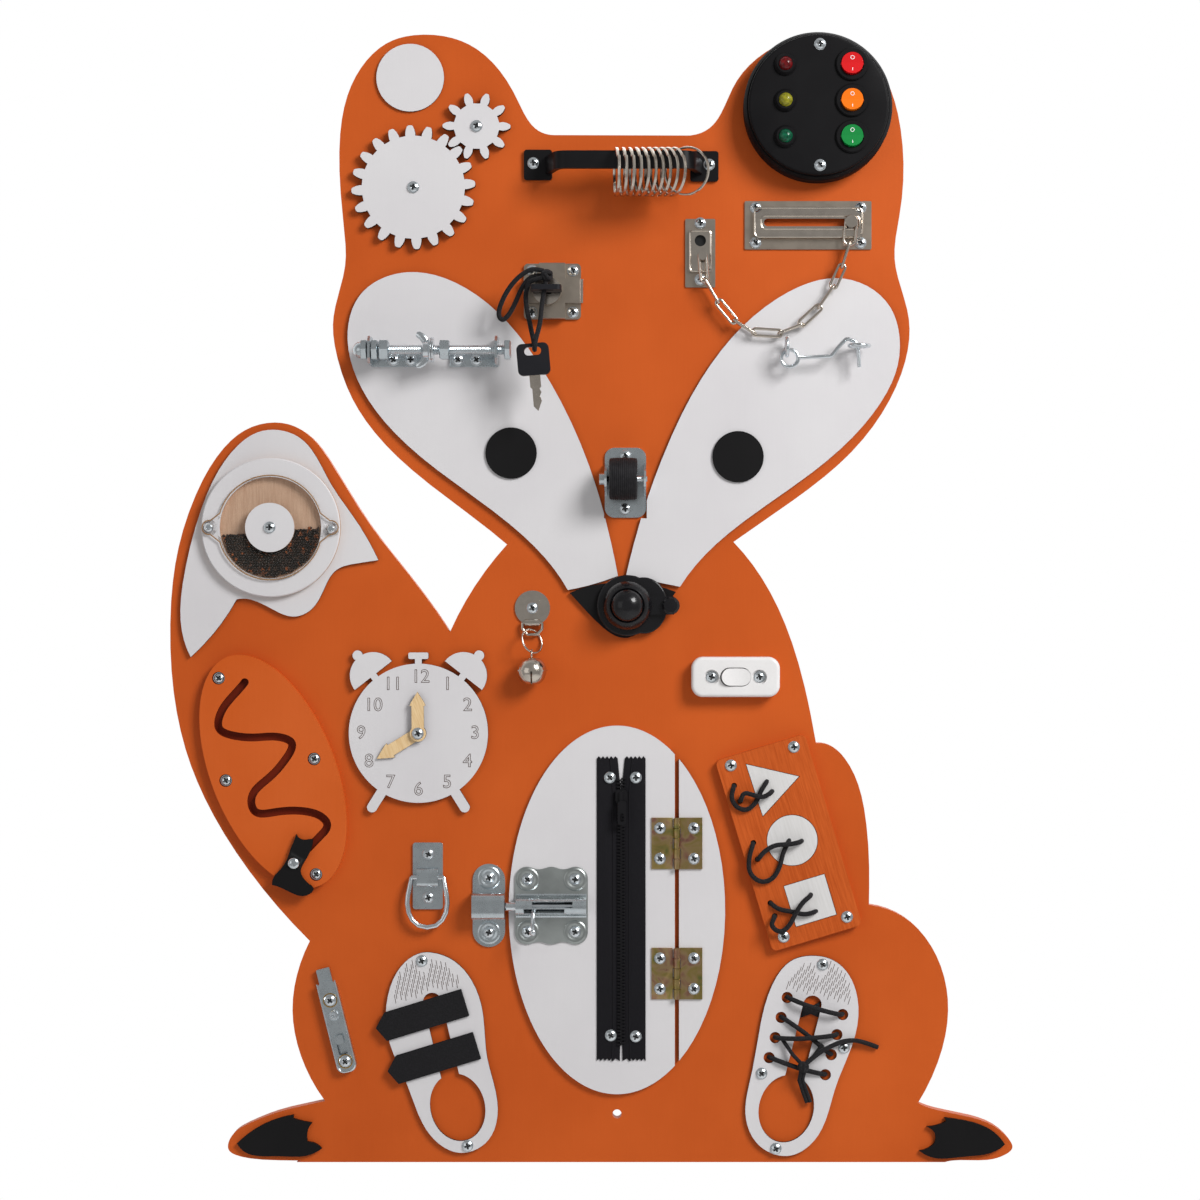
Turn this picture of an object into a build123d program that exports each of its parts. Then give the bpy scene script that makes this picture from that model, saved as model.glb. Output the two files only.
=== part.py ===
from build123d import *
import os
from math import atan2, cos, degrees, pi, radians, sin, tan

os.makedirs("parts", exist_ok=True)

# Driving dimensions in millimetres.
# x runs to the right and z up, both from the small wall-screw hole.
# A height is measured forwards from the back face of the board, towards -Y.

# board and flat panels
board_thick = 10.0
wall_hole_radius = 3.2
panel_thick = 3.0
pupil_thick = 1.5
badge_thick = 2.0
board_top = board_thick
panel_top = board_top + panel_thick

# clearances
running_gap = 0.05
moving_gap = 0.3

# screws
screw_shank_radius = 1.5
screw_head_radius = 4.2
screw_head_thick = 2.4
screw_tip_height = 2.0
plate_hole_gap = 0.3
small_head_radius = 3.4

# gears
gear_module = 4.15
gear_large_teeth = 20
gear_small_teeth = 10
gear_large_centre = (-144.2, 657.2)
gear_large_addendum = 2.4
gear_large_dedendum = 4.9
gear_small_addendum = 3.3
gear_small_dedendum = 4.5
gear_pressure_angle = 24.0
gear_backlash = 0.7
gear_thick = 5.0
gear_line_angle = 44.0
gear_tooth_angle = 93.3
gear_pivot_radius = 2.5
badge_centre = (-146.7, 735.4)
badge_radius = 24.0

# pull handle and rings
pull_left = (-56.0, 673.5)
pull_right = (62.0, 672.5)
pull_pad = (20.0, 21.5)
pull_pad_thick = 2.5
pull_screw_shift = (3.4, 1.2)
pull_bar_wide = 12.4
pull_bar_thick = 4.0
pull_reach = 28.0
ring_count = 10
ring_radius = 16.5
ring_wire = 1.0
ring_first_x = 0.0
ring_pitch = 4.4
ring_lean = 6.0
ring_lean_step = 2.6
last_ring_lean = 64.0
last_ring_gap = 9.5

# light box
light_centre = (141.9, 713.0)
light_base_radius = 52.4
light_wall = 4.0
light_base_thick = 16.0
light_floor = 2.0
light_cover_radius = 49.4
light_cover_thick = 4.0
light_cover_round = 1.6
lamp_offset_x = -23.3
rocker_offset_x = 23.5
lamp_pitch = 25.4
lamp_holder_radius = 7.9
lamp_lens_radius = 4.9
bezel_radius = 11.6
bezel_thick = 2.0
rocker_radius = 7.65
rocker_gap = 0.6
rocker_tilt = 7.0
rocker_pin_radius = 1.0
switch_can_radius = 9.9
switch_can_depth = 14.0
battery_size = (24.0, 48.0, 10.5)
cover_screw_offset = 42.5

# door chain
chain_wire = 1.0
chain_bend = 2.5
chain_height = 18.0
chain_end_bend = 4.0
stud_neck_radius = 1.1
stud_cap_radius = 3.2
stud_cap_thick = 2.0
stud_shoe_thick = 1.6
slide_cap_radius = 4.4
keeper_plate_centre = (59.1, 611.0)
keeper_plate_size = (21.3, 48.6)
keeper_boss_size = (16.2, 30.0)
keeper_boss_centre = (59.1, 612.3)
keeper_boss_thick = 2.4
keeper_hole_rise = 7.3
keeper_hole_radius = 4.0
chain_plate_centre = (135.6, 630.8)
chain_plate_size = (90.0, 34.3)
chain_plate_thick = 1.2
chain_frame_size = (76.0, 20.6)
chain_frame_z = 632.3
chain_frame_rise = 5.0
chain_slot_wide = 5.4
chain_slot_margins = (6.5, 4.0)
chain_stud_back = 3.9
chain_screw_inset = (7.7, 4.65)
keeper_screw_reach = 20.0
chain_joints = [
    (60.6, 608.1), (61.8, 592.5), (70.9, 576.9), (82.4, 563.0), (95.8, 554.5), (114.2, 553.4),
    (129.2, 559.2), (142.3, 571.2), (152.2, 585.3), (159.0, 599.9), (164.0, 615.9),
]
chain_left_count = 5

# gate hook
hook_eye_centre = (121.8, 535.3)
hook_eye_radius = 6.0
hook_wire = 1.4
hook_height = 24.0
hook_post = (120.0, 543.5)
hook_post_radius = 6.5
hook_catch = (170.9, 544.2)
hook_catch_radius = 7.0

# threaded bolt
bolt_z = 540.5
bolt_height = 31.0
bolt_radius = 3.45
bolt_span = (-182.0, -78.8)
bolt_head_thick = 4.4
nut_flats = 13.0
nut_thick = 6.8
bracket_thick = 1.8
bracket_strip_z = 535.0
bracket_strip_wide = 10.0
bracket_ear = (19.4, 24.5)
bracket_left = (-174.6, -137.0)
bracket_right = (-83.6, -118.6)
wing_nut_x = -134.0
wing_hub_radius = 6.0
wing_hub_thick = 4.4
washer_radius = 8.8
washer_thick = 1.4

# lock and keys
lock_centre = (-45.8, 583.7)
lock_size = (40.4, 39.5)
lock_thick = 8.0
lock_corner = 11.0
lock_flange_thick = 2.0
lock_barrel_centre = (-49.2, 583.0)
lock_barrel_radius = 9.9
lock_barrel_thick = 7.0
lock_bolt_size = (14.0, 17.0, 4.0)
lock_bolt_reach = 1.6
key_blade = (7.2, 2.2)
lock_plug_radius = 3.8
key_bow = (21.3, 3.6, 20.0)
key_bow_gap = 3.0
spare_key_place = (-58.0, 532.8)
spare_key_height = 42.0
spare_bow = (22.6, 22.4, 5.0)
spare_blade = (7.6, 26.0, 2.2)
key_cord_radius = 1.4

# fixed caster
caster_centre = (6.0, 448.1)
caster_plate = (29.3, 49.6)
caster_thick = 1.6
caster_wheel_radius = 15.0
caster_wheel_wide = 19.8
caster_axle_radius = 2.0
caster_axle_rise = 18.5
caster_ear_wide = 24.0

# bicycle bell
bell_centre = (7.4, 361.0)
bell_base_radius = 21.6
bell_base_thick = 4.0
bell_lug = (17.0, 40.0)
bell_dome_radius = 17.4
bell_dome_rise = 9.0
bell_cap_radius = 11.7
bell_cap_rise = 7.0
bell_post_radius = 4.0
bell_lever_wide = 12.8
bell_lever_reach = 37.0
bell_lever_thick = 3.0

# clip and jingle bell
clip_centre = (-60.0, 359.2)
clip_washer_radius = 12.5
clip_wide = 11.2
jingle_ring_radius = 8.8
jingle_bell_radius = 10.4
jingle_wire = 0.7

# inline switch
line_switch_centre = (83.9, 310.5)
line_switch_size = (62.6, 28.4)
line_switch_corner = 8.2
line_switch_thick = 11.0
line_rocker = (20.6, 12.2)
line_rocker_tilt = 6.0

# clock
clock_centre = (-140.7, 270.5)
clock_radius = 49.3
clock_thick = 4.0
clock_hand_thick = 1.8
clock_hub_radius = 5.8
hour_hand_length = 29.5
minute_hand_length = 34.5
clock_pin_radius = 2.0

# maze
maze_centre = (-243.5, 243.5)
maze_axes = (43.7, 87.3)
maze_tilt = 22.0
maze_thick = 6.0
maze_groove_wide = 5.6
maze_groove_depth = 4.6
cat_thick = 3.0

# shape panel
shape_centre = (121.6, 193.0)
shape_size = (66.2, 141.0)
shape_tilt = 16.8
shape_thick = 6.0
shape_fit = 0.4
insert_thick = 5.4
circle_radius = 17.8
square_side = 29.8
lace_radius = 1.4

# spinner
spinner_centre = (-244.9, 416.1)
spinner_radius = 49.2
spinner_window_radius = 36.4
spinner_thick = 5.0
spinner_floor = 1.4
spinner_cover_thick = 1.8
spinner_hub_radius = 17.4
spinner_tab = (43.2, 6.6)

# belly oval, door and hinges
oval_centre = (0.0, 145.2)
oval_axes = (76.7, 130.6)
door_edge_x = 41.0
strip_edge_x = 44.0
hinge_levels = (192.5, 100.3)
hinge_height = 36.4
hinge_leaf_reach = 18.0
hinge_leaf_thick = 1.2
hinge_knuckle_radius = 2.3
hinge_pin_radius = 1.2
hinge_axis_x = 42.5
hinge_screw_offset = (12.0, 10.8)

# zipper
zip_x = 3.0
zip_tape = (34.6, 38.3, 254.2)
zip_tape_thick = 0.8
zip_teeth = (5.6, 50.0, 240.0)
zip_tooth_pitch = 2.4
zip_slider_z = 226.0
zip_slider = (7.6, 9.6, 4.2)
zip_pull = (6.0, 17.0, 1.3)
zip_screws = [(-5.0, 239.1), (13.4, 239.1), (-4.3, 56.4), (13.3, 55.7)]

# barrel bolt
barrel_z = 148.4
barrel_plate = (-72.4, -20.6)
barrel_plate_tall = 55.0
barrel_plate_thick = 1.2
barrel_radius = 6.6
barrel_rod_radius = 3.3
bolt_pin_radius = 1.7
barrel_rod_span = (-79.0, -24.0)
barrel_slot = (-65.4, -29.0)
barrel_pin_x = -58.2
keeper_centre = (-90.9, 148.2)
keeper_size = (23.0, 59.0)
keeper_hoop_tall = 19.0

# ring plate
ring_plate_centre = (-134.2, 169.2)
ring_plate_size = (21.3, 47.3)
ring_strap_tall = 13.5
ring_plate_thick = 1.6
bail_wire = 1.8
bail_size = (29.2, 35.2)
bail_axis_half = 11.5

# slide latch
latch_tilt = 14.1
latch_top = (-206.5, 94.9)
latch_length = 66.5
latch_wide = 14.2
latch_thick = 5.0
latch_corner = 5.5
latch_wall = 1.0
latch_tongue = (9.6, 9.0)
latch_travel = 8.0
latch_tunnel = 54.5
latch_thumb = 42.0
latch_screw_steps = (13.9, 58.5)

# shoes
sole_thick = panel_thick
strap_size = (66.0, 20.0)
strap_thick = 1.8
strap_tilt = 17.0
strap_ends = [(-107.4, 79.9), (-99.1, 49.4)]
eyelet_radius = 4.0
laces_left = [(120.7, 83.1), (116.4, 69.0), (112.2, 54.7), (107.9, 40.5)]
laces_right = [(160.0, 71.0), (155.9, 56.8), (151.9, 42.6), (147.7, 28.4)]


# ---- shapes drawn in (x, z) and raised forwards ----

def prism(sketch, low, thick):
    return extrude(Plane.XZ.offset(low) * sketch, amount=thick)


def post(place, radius, low, thick):
    return prism(Pos(*place) * Circle(radius), low, thick)


def slab(place, size, low, thick, corner=0.0, tilt=0.0):
    sketch = RectangleRounded(*size, corner) if corner else Rectangle(*size)
    return prism(Pos(*place) * Rot(0, 0, tilt) * sketch, low, thick)


def turned(place, profile):
    # profile is a closed list of (radius, height), turned about an axis that points forwards
    outline = Polyline(*[(radius, -height) for radius, height in profile], close=True)
    return Pos(place[0], 0, place[1]) * revolve(make_face(outline), Axis.Y)


def rod_x(start, end, z, height, radius):
    return Pos((start + end) / 2, -height, z) * Rot(0, 90, 0) * Cylinder(radius, abs(end - start))


def rod_z(x, start, end, height, radius):
    return Pos(x, -height, (start + end) / 2) * Cylinder(radius, abs(end - start))


def cord(points, radius, bends):
    route = FilletPolyline(*points, radius=bends)
    section = Plane(origin=route @ 0, z_dir=route % 0) * Circle(radius)
    return sweep(section, path=route)


def bend_radii(points):
    # the largest arc that the two runs beside each corner leave room for
    vectors = [Vector(*point) for point in points]
    radii = []
    for before, corner, after in zip(vectors, vectors[1:], vectors[2:]):
        turn = radians((corner - before).get_angle(after - corner))
        shorter = min((corner - before).length, (after - corner).length)
        radii.append(0.45 * shorter / tan(turn / 2))
    return radii


def free_cord(name, points, radius):
    bends = bend_radii(points)
    print(name, "bends", [round(value, 1) for value in bends])
    return cord(points, radius, bends)


def curved_outline(spans):
    edges = [Spline(*span) if len(span) > 2 else Line(*span) for span in spans]
    return make_face(edges)


def closed_curve(points):
    return make_face(Spline(*points, periodic=True))


def drilled(piece, places, radius, low, high):
    holes = [post(place, radius, low, high - low) for place in places]
    return piece - holes


def screw(place, seat, grip, head_radius=screw_head_radius):
    crown = seat + screw_head_thick
    tip = seat - grip
    body = turned(place, [
        (0, crown), (head_radius * 0.55, crown), (head_radius * 0.92, crown - screw_head_thick * 0.42),
        (head_radius, crown - screw_head_thick * 0.8), (head_radius, seat), (screw_shank_radius, seat),
        (screw_shank_radius, tip + screw_shank_radius), (0, tip),
    ])
    slots = [slab(place, (head_radius * 0.95, head_radius * 0.24), crown - 1.2, 1.4, tilt=turn)
             for turn in (25, 115)]
    return body - slots


def hex_prism(start, end, z, height):
    sketch = Plane.YZ * Pos(-height, z) * RegularPolygon(nut_flats / 2, 6, major_radius=False)
    solid = Pos(start, 0, 0) * extrude(sketch, amount=end - start)
    return solid & rod_x(start, end, z, height, nut_flats / 2 * 1.09)


root_screws = []
nodes = {}


def fasten(places, seat):
    # a root screw reaches through what it holds into the board
    root_screws.extend((place, seat) for place in places)
    return places


# ---- board and flat panels ----

ear_right = [
    (51.8, 694.7), (67.2, 701.3), (83.5, 730.9), (114.3, 759.0), (138.4, 766.2), (163.3, 761.6),
    (183.2, 746.4), (201.4, 699.4), (200.9, 640.0), (197.2, 606.3), (207.1, 565.4), (197.9, 515.7),
    (164.0, 467.5), (131.3, 440.2), (82.7, 406.1),
]
flank_right = [(82.7, 406.1), (107.9, 372.0), (131.8, 309.1), (141.3, 263.4)]
hip_right = [(141.3, 263.4), (151.9, 261.3), (164.0, 249.2), (176.6, 209.4), (179.1, 173.2), (178.9, 148.4)]
thigh_right = [(178.9, 148.4), (215.1, 129.9), (234.7, 83.8), (226.8, 34.1), (213.7, 7.8)]
foot_right = [
    (213.7, 7.8), (255.6, -3.5), (276.9, -16.3), (280.7, -24.0), (274.6, -29.4), (258.1, -32.9),
    (232.7, -34.2),
]
foot_left = [
    (-227.4, -34.2), (-269.4, -29.6), (-276.0, -24.7), (-274.3, -16.8), (-260.9, -6.6), (-237.2, 2.4),
    (-207.3, 9.2),
]
thigh_left = [(-207.3, 9.2), (-226.7, 48.6), (-230.4, 73.8), (-227.2, 98.9), (-218.1, 122.8)]
tail = [
    (-218.1, 122.8), (-267.2, 181.0), (-305.3, 255.6), (-317.2, 347.9), (-312.1, 398.6), (-299.4, 438.8),
    (-282.9, 468.2), (-264.3, 485.4), (-248.5, 490.6), (-231.6, 489.2), (-217.3, 480.7), (-201.8, 460.4),
    (-174.7, 417.5), (-148.7, 384.1), (-118.6, 342.2),
]
chest_left = [(-118.6, 342.2), (-103.9, 370.1), (-78.1, 404.3)]
head_left = [
    (-78.1, 404.3), (-129.5, 444.2), (-161.5, 472.1), (-186.9, 505.9), (-198.7, 537.5), (-201.6, 562.7),
    (-192.9, 603.7), (-193.9, 629.1), (-197.0, 688.4), (-191.8, 721.8), (-180.6, 744.4), (-161.2, 761.4),
    (-141.0, 766.2), (-103.7, 758.6), (-84.5, 742.2), (-71.0, 720.6), (-57.5, 699.3), (-45.0, 695.0),
]
board_spans = [
    ear_right, flank_right, hip_right, thigh_right, foot_right, [foot_right[-1], foot_left[0]], foot_left,
    thigh_left, tail, chest_left, head_left, [head_left[-1], ear_right[0]],
]

cheek_left_spans = [
    [(-34.8, 372.0), (-49.7, 393.3), (-85.2, 426.0), (-151.9, 477.8), (-186.0, 526.1), (-191.0, 551.4),
     (-181.8, 581.5), (-150.5, 597.1), (-109.3, 587.2), (-51.8, 526.8), (-16.3, 450.1), (0.7, 382.0)],
    [(0.7, 382.0), (-12.1, 377.5), (-34.8, 372.0)],
]
cheek_right_spans = [
    [(44.7, 374.3), (67.5, 401.9), (94.4, 423.9), (146.3, 461.5), (186.0, 503.4), (198.6, 529.7),
     (200.2, 552.4), (193.8, 572.3), (180.3, 585.8), (159.0, 592.9), (117.2, 580.8), (66.0, 531.1),
     (33.4, 468.6), (19.9, 431.7), (6.4, 382.0)],
    [(6.4, 382.0), (26.0, 378.0), (44.7, 374.3)],
]
nose_spans = [
    [(-33.4, 369.9), (-12.1, 376.3), (4.3, 377.4), (23.4, 375.9), (41.9, 370.6)],
    [(41.9, 370.6), (27.0, 352.2), (5.7, 338.0), (-15.6, 350.7), (-33.4, 369.9)],
]
tail_tip_spans = [
    [(-302.2, 324.5), (-308.4, 342.9), (-306.5, 384.1), (-294.6, 429.5), (-274.1, 468.6), (-253.5, 484.2),
     (-242.4, 485.6), (-225.1, 480.0), (-203.3, 448.0), (-183.9, 419.6), (-169.2, 393.2)],
    [(-169.2, 393.2), (-186.9, 390.5), (-198.9, 386.2), (-208.0, 372.0), (-217.0, 358.0), (-227.2, 353.3),
     (-249.9, 361.4), (-269.6, 365.4)],
    [(-269.6, 365.4), (-284.7, 342.9), (-302.2, 324.5)],
]
paw_left_spans = [
    [(-269.4, -20.4), (-252.0, -7.5), (-229.2, -0.1)],
    [(-229.2, -0.1), (-229.4, -2.6)],
    [(-229.4, -2.6), (-222.5, -4.6), (-216.1, -5.7)],
    [(-216.1, -5.7), (-219.4, -11.8), (-219.4, -19.2)],
    [(-219.4, -19.2), (-213.5, -20.6), (-209.3, -24.0)],
    [(-209.3, -24.0), (-220.5, -29.2), (-238.6, -29.4), (-264.5, -26.0), (-269.4, -20.4)],
]
paw_right_spans = [
    [(275.1, -21.0), (263.4, -9.9), (241.7, -3.3), (232.2, -2.0)],
    [(232.2, -2.0), (233.5, -4.7)],
    [(233.5, -4.7), (226.4, -7.5), (219.7, -8.5)],
    [(219.7, -8.5), (225.6, -14.0), (224.9, -20.4)],
    [(224.9, -20.4), (220.4, -23.8), (214.3, -25.6)],
    [(214.3, -25.6), (227.0, -31.0), (244.2, -29.9), (268.0, -26.0), (275.1, -21.0)],
]
pupils = [((-75.0, 469.0), 18.2), ((85.8, 466.4), 18.2)]
strap_sole = [
    (-132.1, 115.0), (-110.8, 105.1), (-95.8, 76.0), (-92.3, 41.9), (-84.5, 3.5), (-92.3, -19.2),
    (-110.8, -27.0), (-131.0, -16.0), (-148.4, 20.6), (-161.6, 52.5), (-162.6, 83.1), (-151.2, 107.2),
]
strap_sole_hole = ((-112.9, 5.3), (-131.0, 80.0))
lace_sole = [
    (140.9, 112.6), (162.2, 102.2), (171.1, 77.7), (168.3, 54.2), (155.1, 19.9), (140.9, -17.0),
    (122.5, -29.0), (101.1, -22.0), (91.1, 0.3), (95.0, 27.0), (100.6, 57.5), (109.3, 90.2), (122.0, 108.0),
]
lace_sole_hole = ((120.0, 4.3), (138.6, 78.0))
ankle_axes = (19.4, 24.2)
instep_wide = 13.0
strap_sole_screws = [(-138.4, 109.1), (-105.9, -22.0)]
lace_sole_screws = [(145.8, 106.5), (160.9, 47.6), (102.5, 29.3), (112.6, -24.0)]


def sole(outline, hole):
    ankle, instep = hole
    reach = Vector(instep[0] - ankle[0], instep[1] - ankle[1])
    lean = degrees(atan2(reach.Y, reach.X))
    middle = ((ankle[0] + instep[0]) / 2, (ankle[1] + instep[1]) / 2)
    opening = Pos(*ankle) * Rot(0, 0, lean - 90) * Ellipse(*ankle_axes)
    opening += Pos(*middle) * Rot(0, 0, lean) * SlotCenterToCenter(reach.length, instep_wide)
    return prism(closed_curve(outline) - opening, board_top, sole_thick)


def make_board():
    blank = prism(curved_outline(board_spans), 0, board_thick)
    return blank - post((0, 0), wall_hole_radius, 0, board_thick)


oval = Pos(*oval_centre) * Ellipse(*oval_axes)


def oval_part(low_x, high_x):
    wide = high_x - low_x
    return oval & (Pos(low_x + wide / 2, oval_centre[1]) * Rectangle(wide, 2 * oval_axes[1] + 2))


fasten(strap_sole_screws, panel_top)
fasten(lace_sole_screws, panel_top)
base_board = make_board()
nose_leaf = prism(curved_outline(nose_spans), board_top, panel_thick)
caster_seat = slab(caster_centre, (caster_plate[0] + 1, caster_plate[1] + 1), board_top, panel_thick)
cheeks = [prism(curved_outline(spans), board_top, panel_thick) - nose_leaf - caster_seat
          for spans in (cheek_left_spans, cheek_right_spans)]
tail_tip = prism(curved_outline(tail_tip_spans), board_top, panel_thick)
fixed_strip = prism(oval_part(strip_edge_x, oval_axes[0] + 1), board_top, panel_thick)
strap_shoe = sole(strap_sole, strap_sole_hole)
lace_shoe = drilled(sole(lace_sole, lace_sole_hole), laces_left + laces_right, eyelet_radius, board_top,
                    panel_top)
badge = post(badge_centre, badge_radius, board_top, badge_thick)
black_panels = [nose_leaf]
black_panels += [prism(curved_outline(spans), board_top, panel_thick)
                 for spans in (paw_left_spans, paw_right_spans)]
black_panels += [post(place, radius, panel_top, pupil_thick) for place, radius in pupils]
white_panels = [*cheeks, tail_tip, fixed_strip, strap_shoe, lace_shoe, badge]


# ---- gears ----

def gear(teeth, addendum, dedendum, phase):
    pitch_radius = gear_module * teeth / 2
    base_radius = pitch_radius * cos(radians(gear_pressure_angle))
    root, tip = pitch_radius - dedendum, pitch_radius + addendum

    def involute(radius):
        roll = (max((radius / base_radius) ** 2 - 1, 0)) ** 0.5
        return roll - atan2(roll, 1)

    half_tooth = (pi * gear_module / 2 - gear_backlash) / 2 / pitch_radius + involute(pitch_radius)
    start = max(root, base_radius)
    levels = [root, start + 0.01, (start + tip) / 2, tip - 0.5]
    points = []
    for index in range(teeth):
        middle = radians(phase) + index * 2 * pi / teeth
        rising = [(radius, middle - half_tooth + involute(radius)) for radius in levels]
        land = half_tooth - involute(tip - 0.5)
        rounded = [(tip, middle - land * 0.6), (tip, middle + land * 0.6)]
        falling = [(radius, 2 * middle - angle) for radius, angle in reversed(rising)]
        points += [(radius * cos(angle), radius * sin(angle))
                   for radius, angle in rising + rounded + falling]
    return make_face(Polyline(*points, close=True))


gear_spread = gear_module * (gear_large_teeth + gear_small_teeth) / 2
gear_small_centre = (
    gear_large_centre[0] + gear_spread * cos(radians(gear_line_angle)),
    gear_large_centre[1] + gear_spread * sin(radians(gear_line_angle)),
)
large_step = 360 / gear_large_teeth
small_step = 360 / gear_small_teeth
tooth_past_line = (gear_tooth_angle - gear_line_angle) % large_step / large_step
small_phase = gear_line_angle + 180 + small_step / 2 + tooth_past_line * -small_step
gear_low = board_top + moving_gap
gear_top = gear_low + gear_thick


def bored_gear(place, teeth, addendum, dedendum, phase):
    blank = prism(Pos(*place) * gear(teeth, addendum, dedendum, phase), gear_low, gear_thick)
    return blank - post(place, gear_pivot_radius + running_gap, gear_low, gear_thick)


nodes["gear_large"] = [bored_gear(gear_large_centre, gear_large_teeth, gear_large_addendum,
                                  gear_large_dedendum, gear_tooth_angle)]
nodes["gear_small"] = [bored_gear(gear_small_centre, gear_small_teeth, gear_small_addendum,
                                  gear_small_dedendum, small_phase)]


def shoulder_screw(place, low, top, pin_radius):
    # a screw whose smooth shoulder is the pivot of what turns on it
    head = screw(place, top + moving_gap, top + moving_gap - screw_tip_height)
    return head + post(place, pin_radius, low, top + moving_gap - low)


pivot_screws = [shoulder_screw(place, board_top, gear_top, gear_pivot_radius)
                for place in (gear_large_centre, gear_small_centre)]

# ---- pull handle and its rings ----

pull_screws = fasten([(place[0] + side * pull_screw_shift[0], place[1] + pull_screw_shift[1])
                      for place, side in ((pull_left, -1), (pull_right, 1))], board_top + pull_pad_thick)
pull_z = (pull_left[1] + pull_right[1]) / 2
pull_low = board_top + pull_pad_thick / 2
pull_height = board_top + pull_reach
pull_pads = [slab(place, pull_pad, board_top, pull_pad_thick, 2.0) for place in (pull_left, pull_right)]
pull_path = FilletPolyline((pull_left[0] + 7, -pull_low), (pull_left[0] + 15, -pull_height),
                           (pull_right[0] - 10, -pull_height), (pull_right[0] - 3, -pull_low), radius=9)
pull_bar = Pos(0, 0, pull_z - pull_bar_wide / 2) * extrude(trace(pull_path, pull_bar_thick),
                                                           amount=pull_bar_wide)
pull_bar = pull_bar & Pos(0, -50 - board_top, pull_z) * Box(300, 100, 100)
pull_handle = pull_bar + pull_pads
nodes["pull_handle"] = [drilled(pull_handle, pull_screws, screw_shank_radius + plate_hole_gap, board_top,
                                pull_height)]

ring_inside = ring_radius - ring_wire


def key_ring(x, lean):
    # the ring hangs on the bar's top edges, which it meets further apart the more it leans
    reach = pull_bar_thick / 2 / cos(radians(lean)) + ring_wire
    ring_z = pull_z + pull_bar_wide / 2 + moving_gap - (ring_inside ** 2 - reach ** 2) ** 0.5
    return Pos(x, -pull_height, ring_z) * Rot(0, 0, lean) * Rot(0, 90, 0) * Torus(ring_radius, ring_wire)


last_ring_x = ring_first_x + (ring_count - 1) * ring_pitch + last_ring_gap
nodes["handle_rings"] = [key_ring(ring_first_x + i * ring_pitch, ring_lean + i * ring_lean_step)
                         for i in range(ring_count)] + [key_ring(last_ring_x, last_ring_lean)]

# ---- light box ----

light_top = board_top + light_base_thick
cover_top = light_top + light_cover_thick
cover_screws = [(light_centre[0] + 1, light_centre[1] + cover_screw_offset),
                (light_centre[0] + 1, light_centre[1] - cover_screw_offset)]
lamp_places = [(light_centre[0] + lamp_offset_x, light_centre[1] + 3 + i * lamp_pitch) for i in (1, 0, -1)]
rocker_places = [(light_centre[0] + rocker_offset_x, light_centre[1] + 3 + i * lamp_pitch)
                 for i in (1, 0, -1)]
rocker_pivot = cover_top + 0.5
light_cup = turned(light_centre, [
    (0, board_top), (light_base_radius, board_top), (light_base_radius, light_top - 3),
    (light_base_radius - 2, light_top), (light_base_radius - light_wall, light_top),
    (light_base_radius - light_wall, board_top + light_floor), (0, board_top + light_floor),
])
light_cup += [post(place, 3.4, board_top, light_base_thick) for place in cover_screws]
nodes["light_box_base"] = [drilled(light_cup, cover_screws, screw_shank_radius, board_top, light_top)]
fasten(cover_screws, cover_top)

cover = post(light_centre, light_cover_radius, light_top, light_cover_thick)
cover = fillet(cover.edges().filter_by(lambda edge: edge.center().Y < -cover_top + 0.01), light_cover_round)
cover = drilled(cover, cover_screws, screw_shank_radius + plate_hole_gap, light_top, cover_top)
cover = drilled(cover, lamp_places, lamp_lens_radius, light_top, cover_top)
cover = drilled(cover, rocker_places, switch_can_radius, light_top, cover_top)
can_floor = cover_top - switch_can_depth
rocker_bore = rocker_radius + rocker_gap


def lamp_holder(place):
    return turned(place, [
        (lamp_lens_radius, cover_top), (lamp_holder_radius, cover_top),
        (lamp_holder_radius, cover_top + 1.2),
        (lamp_holder_radius - 1.6, cover_top + 3.2), (lamp_lens_radius, cover_top + 3.2),
    ])


def switch_can(place):
    can = turned(place, [
        (0, can_floor), (switch_can_radius, can_floor), (switch_can_radius, cover_top),
        (bezel_radius, cover_top), (bezel_radius, cover_top + bezel_thick - 0.8),
        (bezel_radius - 0.8, cover_top + bezel_thick), (rocker_bore, cover_top + bezel_thick),
        (rocker_bore, can_floor + 2), (0, can_floor + 2),
    ])
    pin_hole = rod_x(place[0] - switch_can_radius, place[0] + switch_can_radius, place[1], rocker_pivot,
                     rocker_pin_radius + running_gap)
    return can - pin_hole


def round_rocker(place):
    # the ends stand higher than the middle, so that a pressed half lies level with its bezel
    rise = rocker_radius * tan(radians(rocker_tilt))
    low, middle = -3.2, 2.4
    side = make_face(Polyline((-low, -rocker_radius), (-middle - rise, -rocker_radius), (-middle, 0),
                              (-middle - rise, rocker_radius), (-low, rocker_radius), close=True))
    button = extrude(Plane.YZ.offset(-rocker_radius) * side, amount=2 * rocker_radius)
    button &= Rot(90, 0, 0) * Cylinder(rocker_radius, 40)
    pin = Rot(0, 90, 0) * Cylinder(rocker_pin_radius, 2 * switch_can_radius - 0.6)
    return Pos(place[0], -rocker_pivot, place[1]) * Rot(-rocker_tilt, 0, 0) * (button + pin)


nodes["light_box_cover"] = [cover] + [lamp_holder(place) for place in lamp_places]
nodes["light_box_cover"] += [switch_can(place) for place in rocker_places]
for colour, place in zip(("red", "amber", "green"), rocker_places):
    nodes[f"rocker_{colour}"] = [round_rocker(place)]


def lamp(place):
    body = post(place, lamp_lens_radius, light_top - 3, light_cover_thick + 3)
    return body + turned(place, [(0, cover_top), (lamp_lens_radius, cover_top),
                                 (lamp_lens_radius, cover_top + 3),
                                 (lamp_lens_radius * 0.75, cover_top + 5),
                                 (lamp_lens_radius * 0.35, cover_top + 6),
                                 (0, cover_top + 6.2)])


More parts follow.
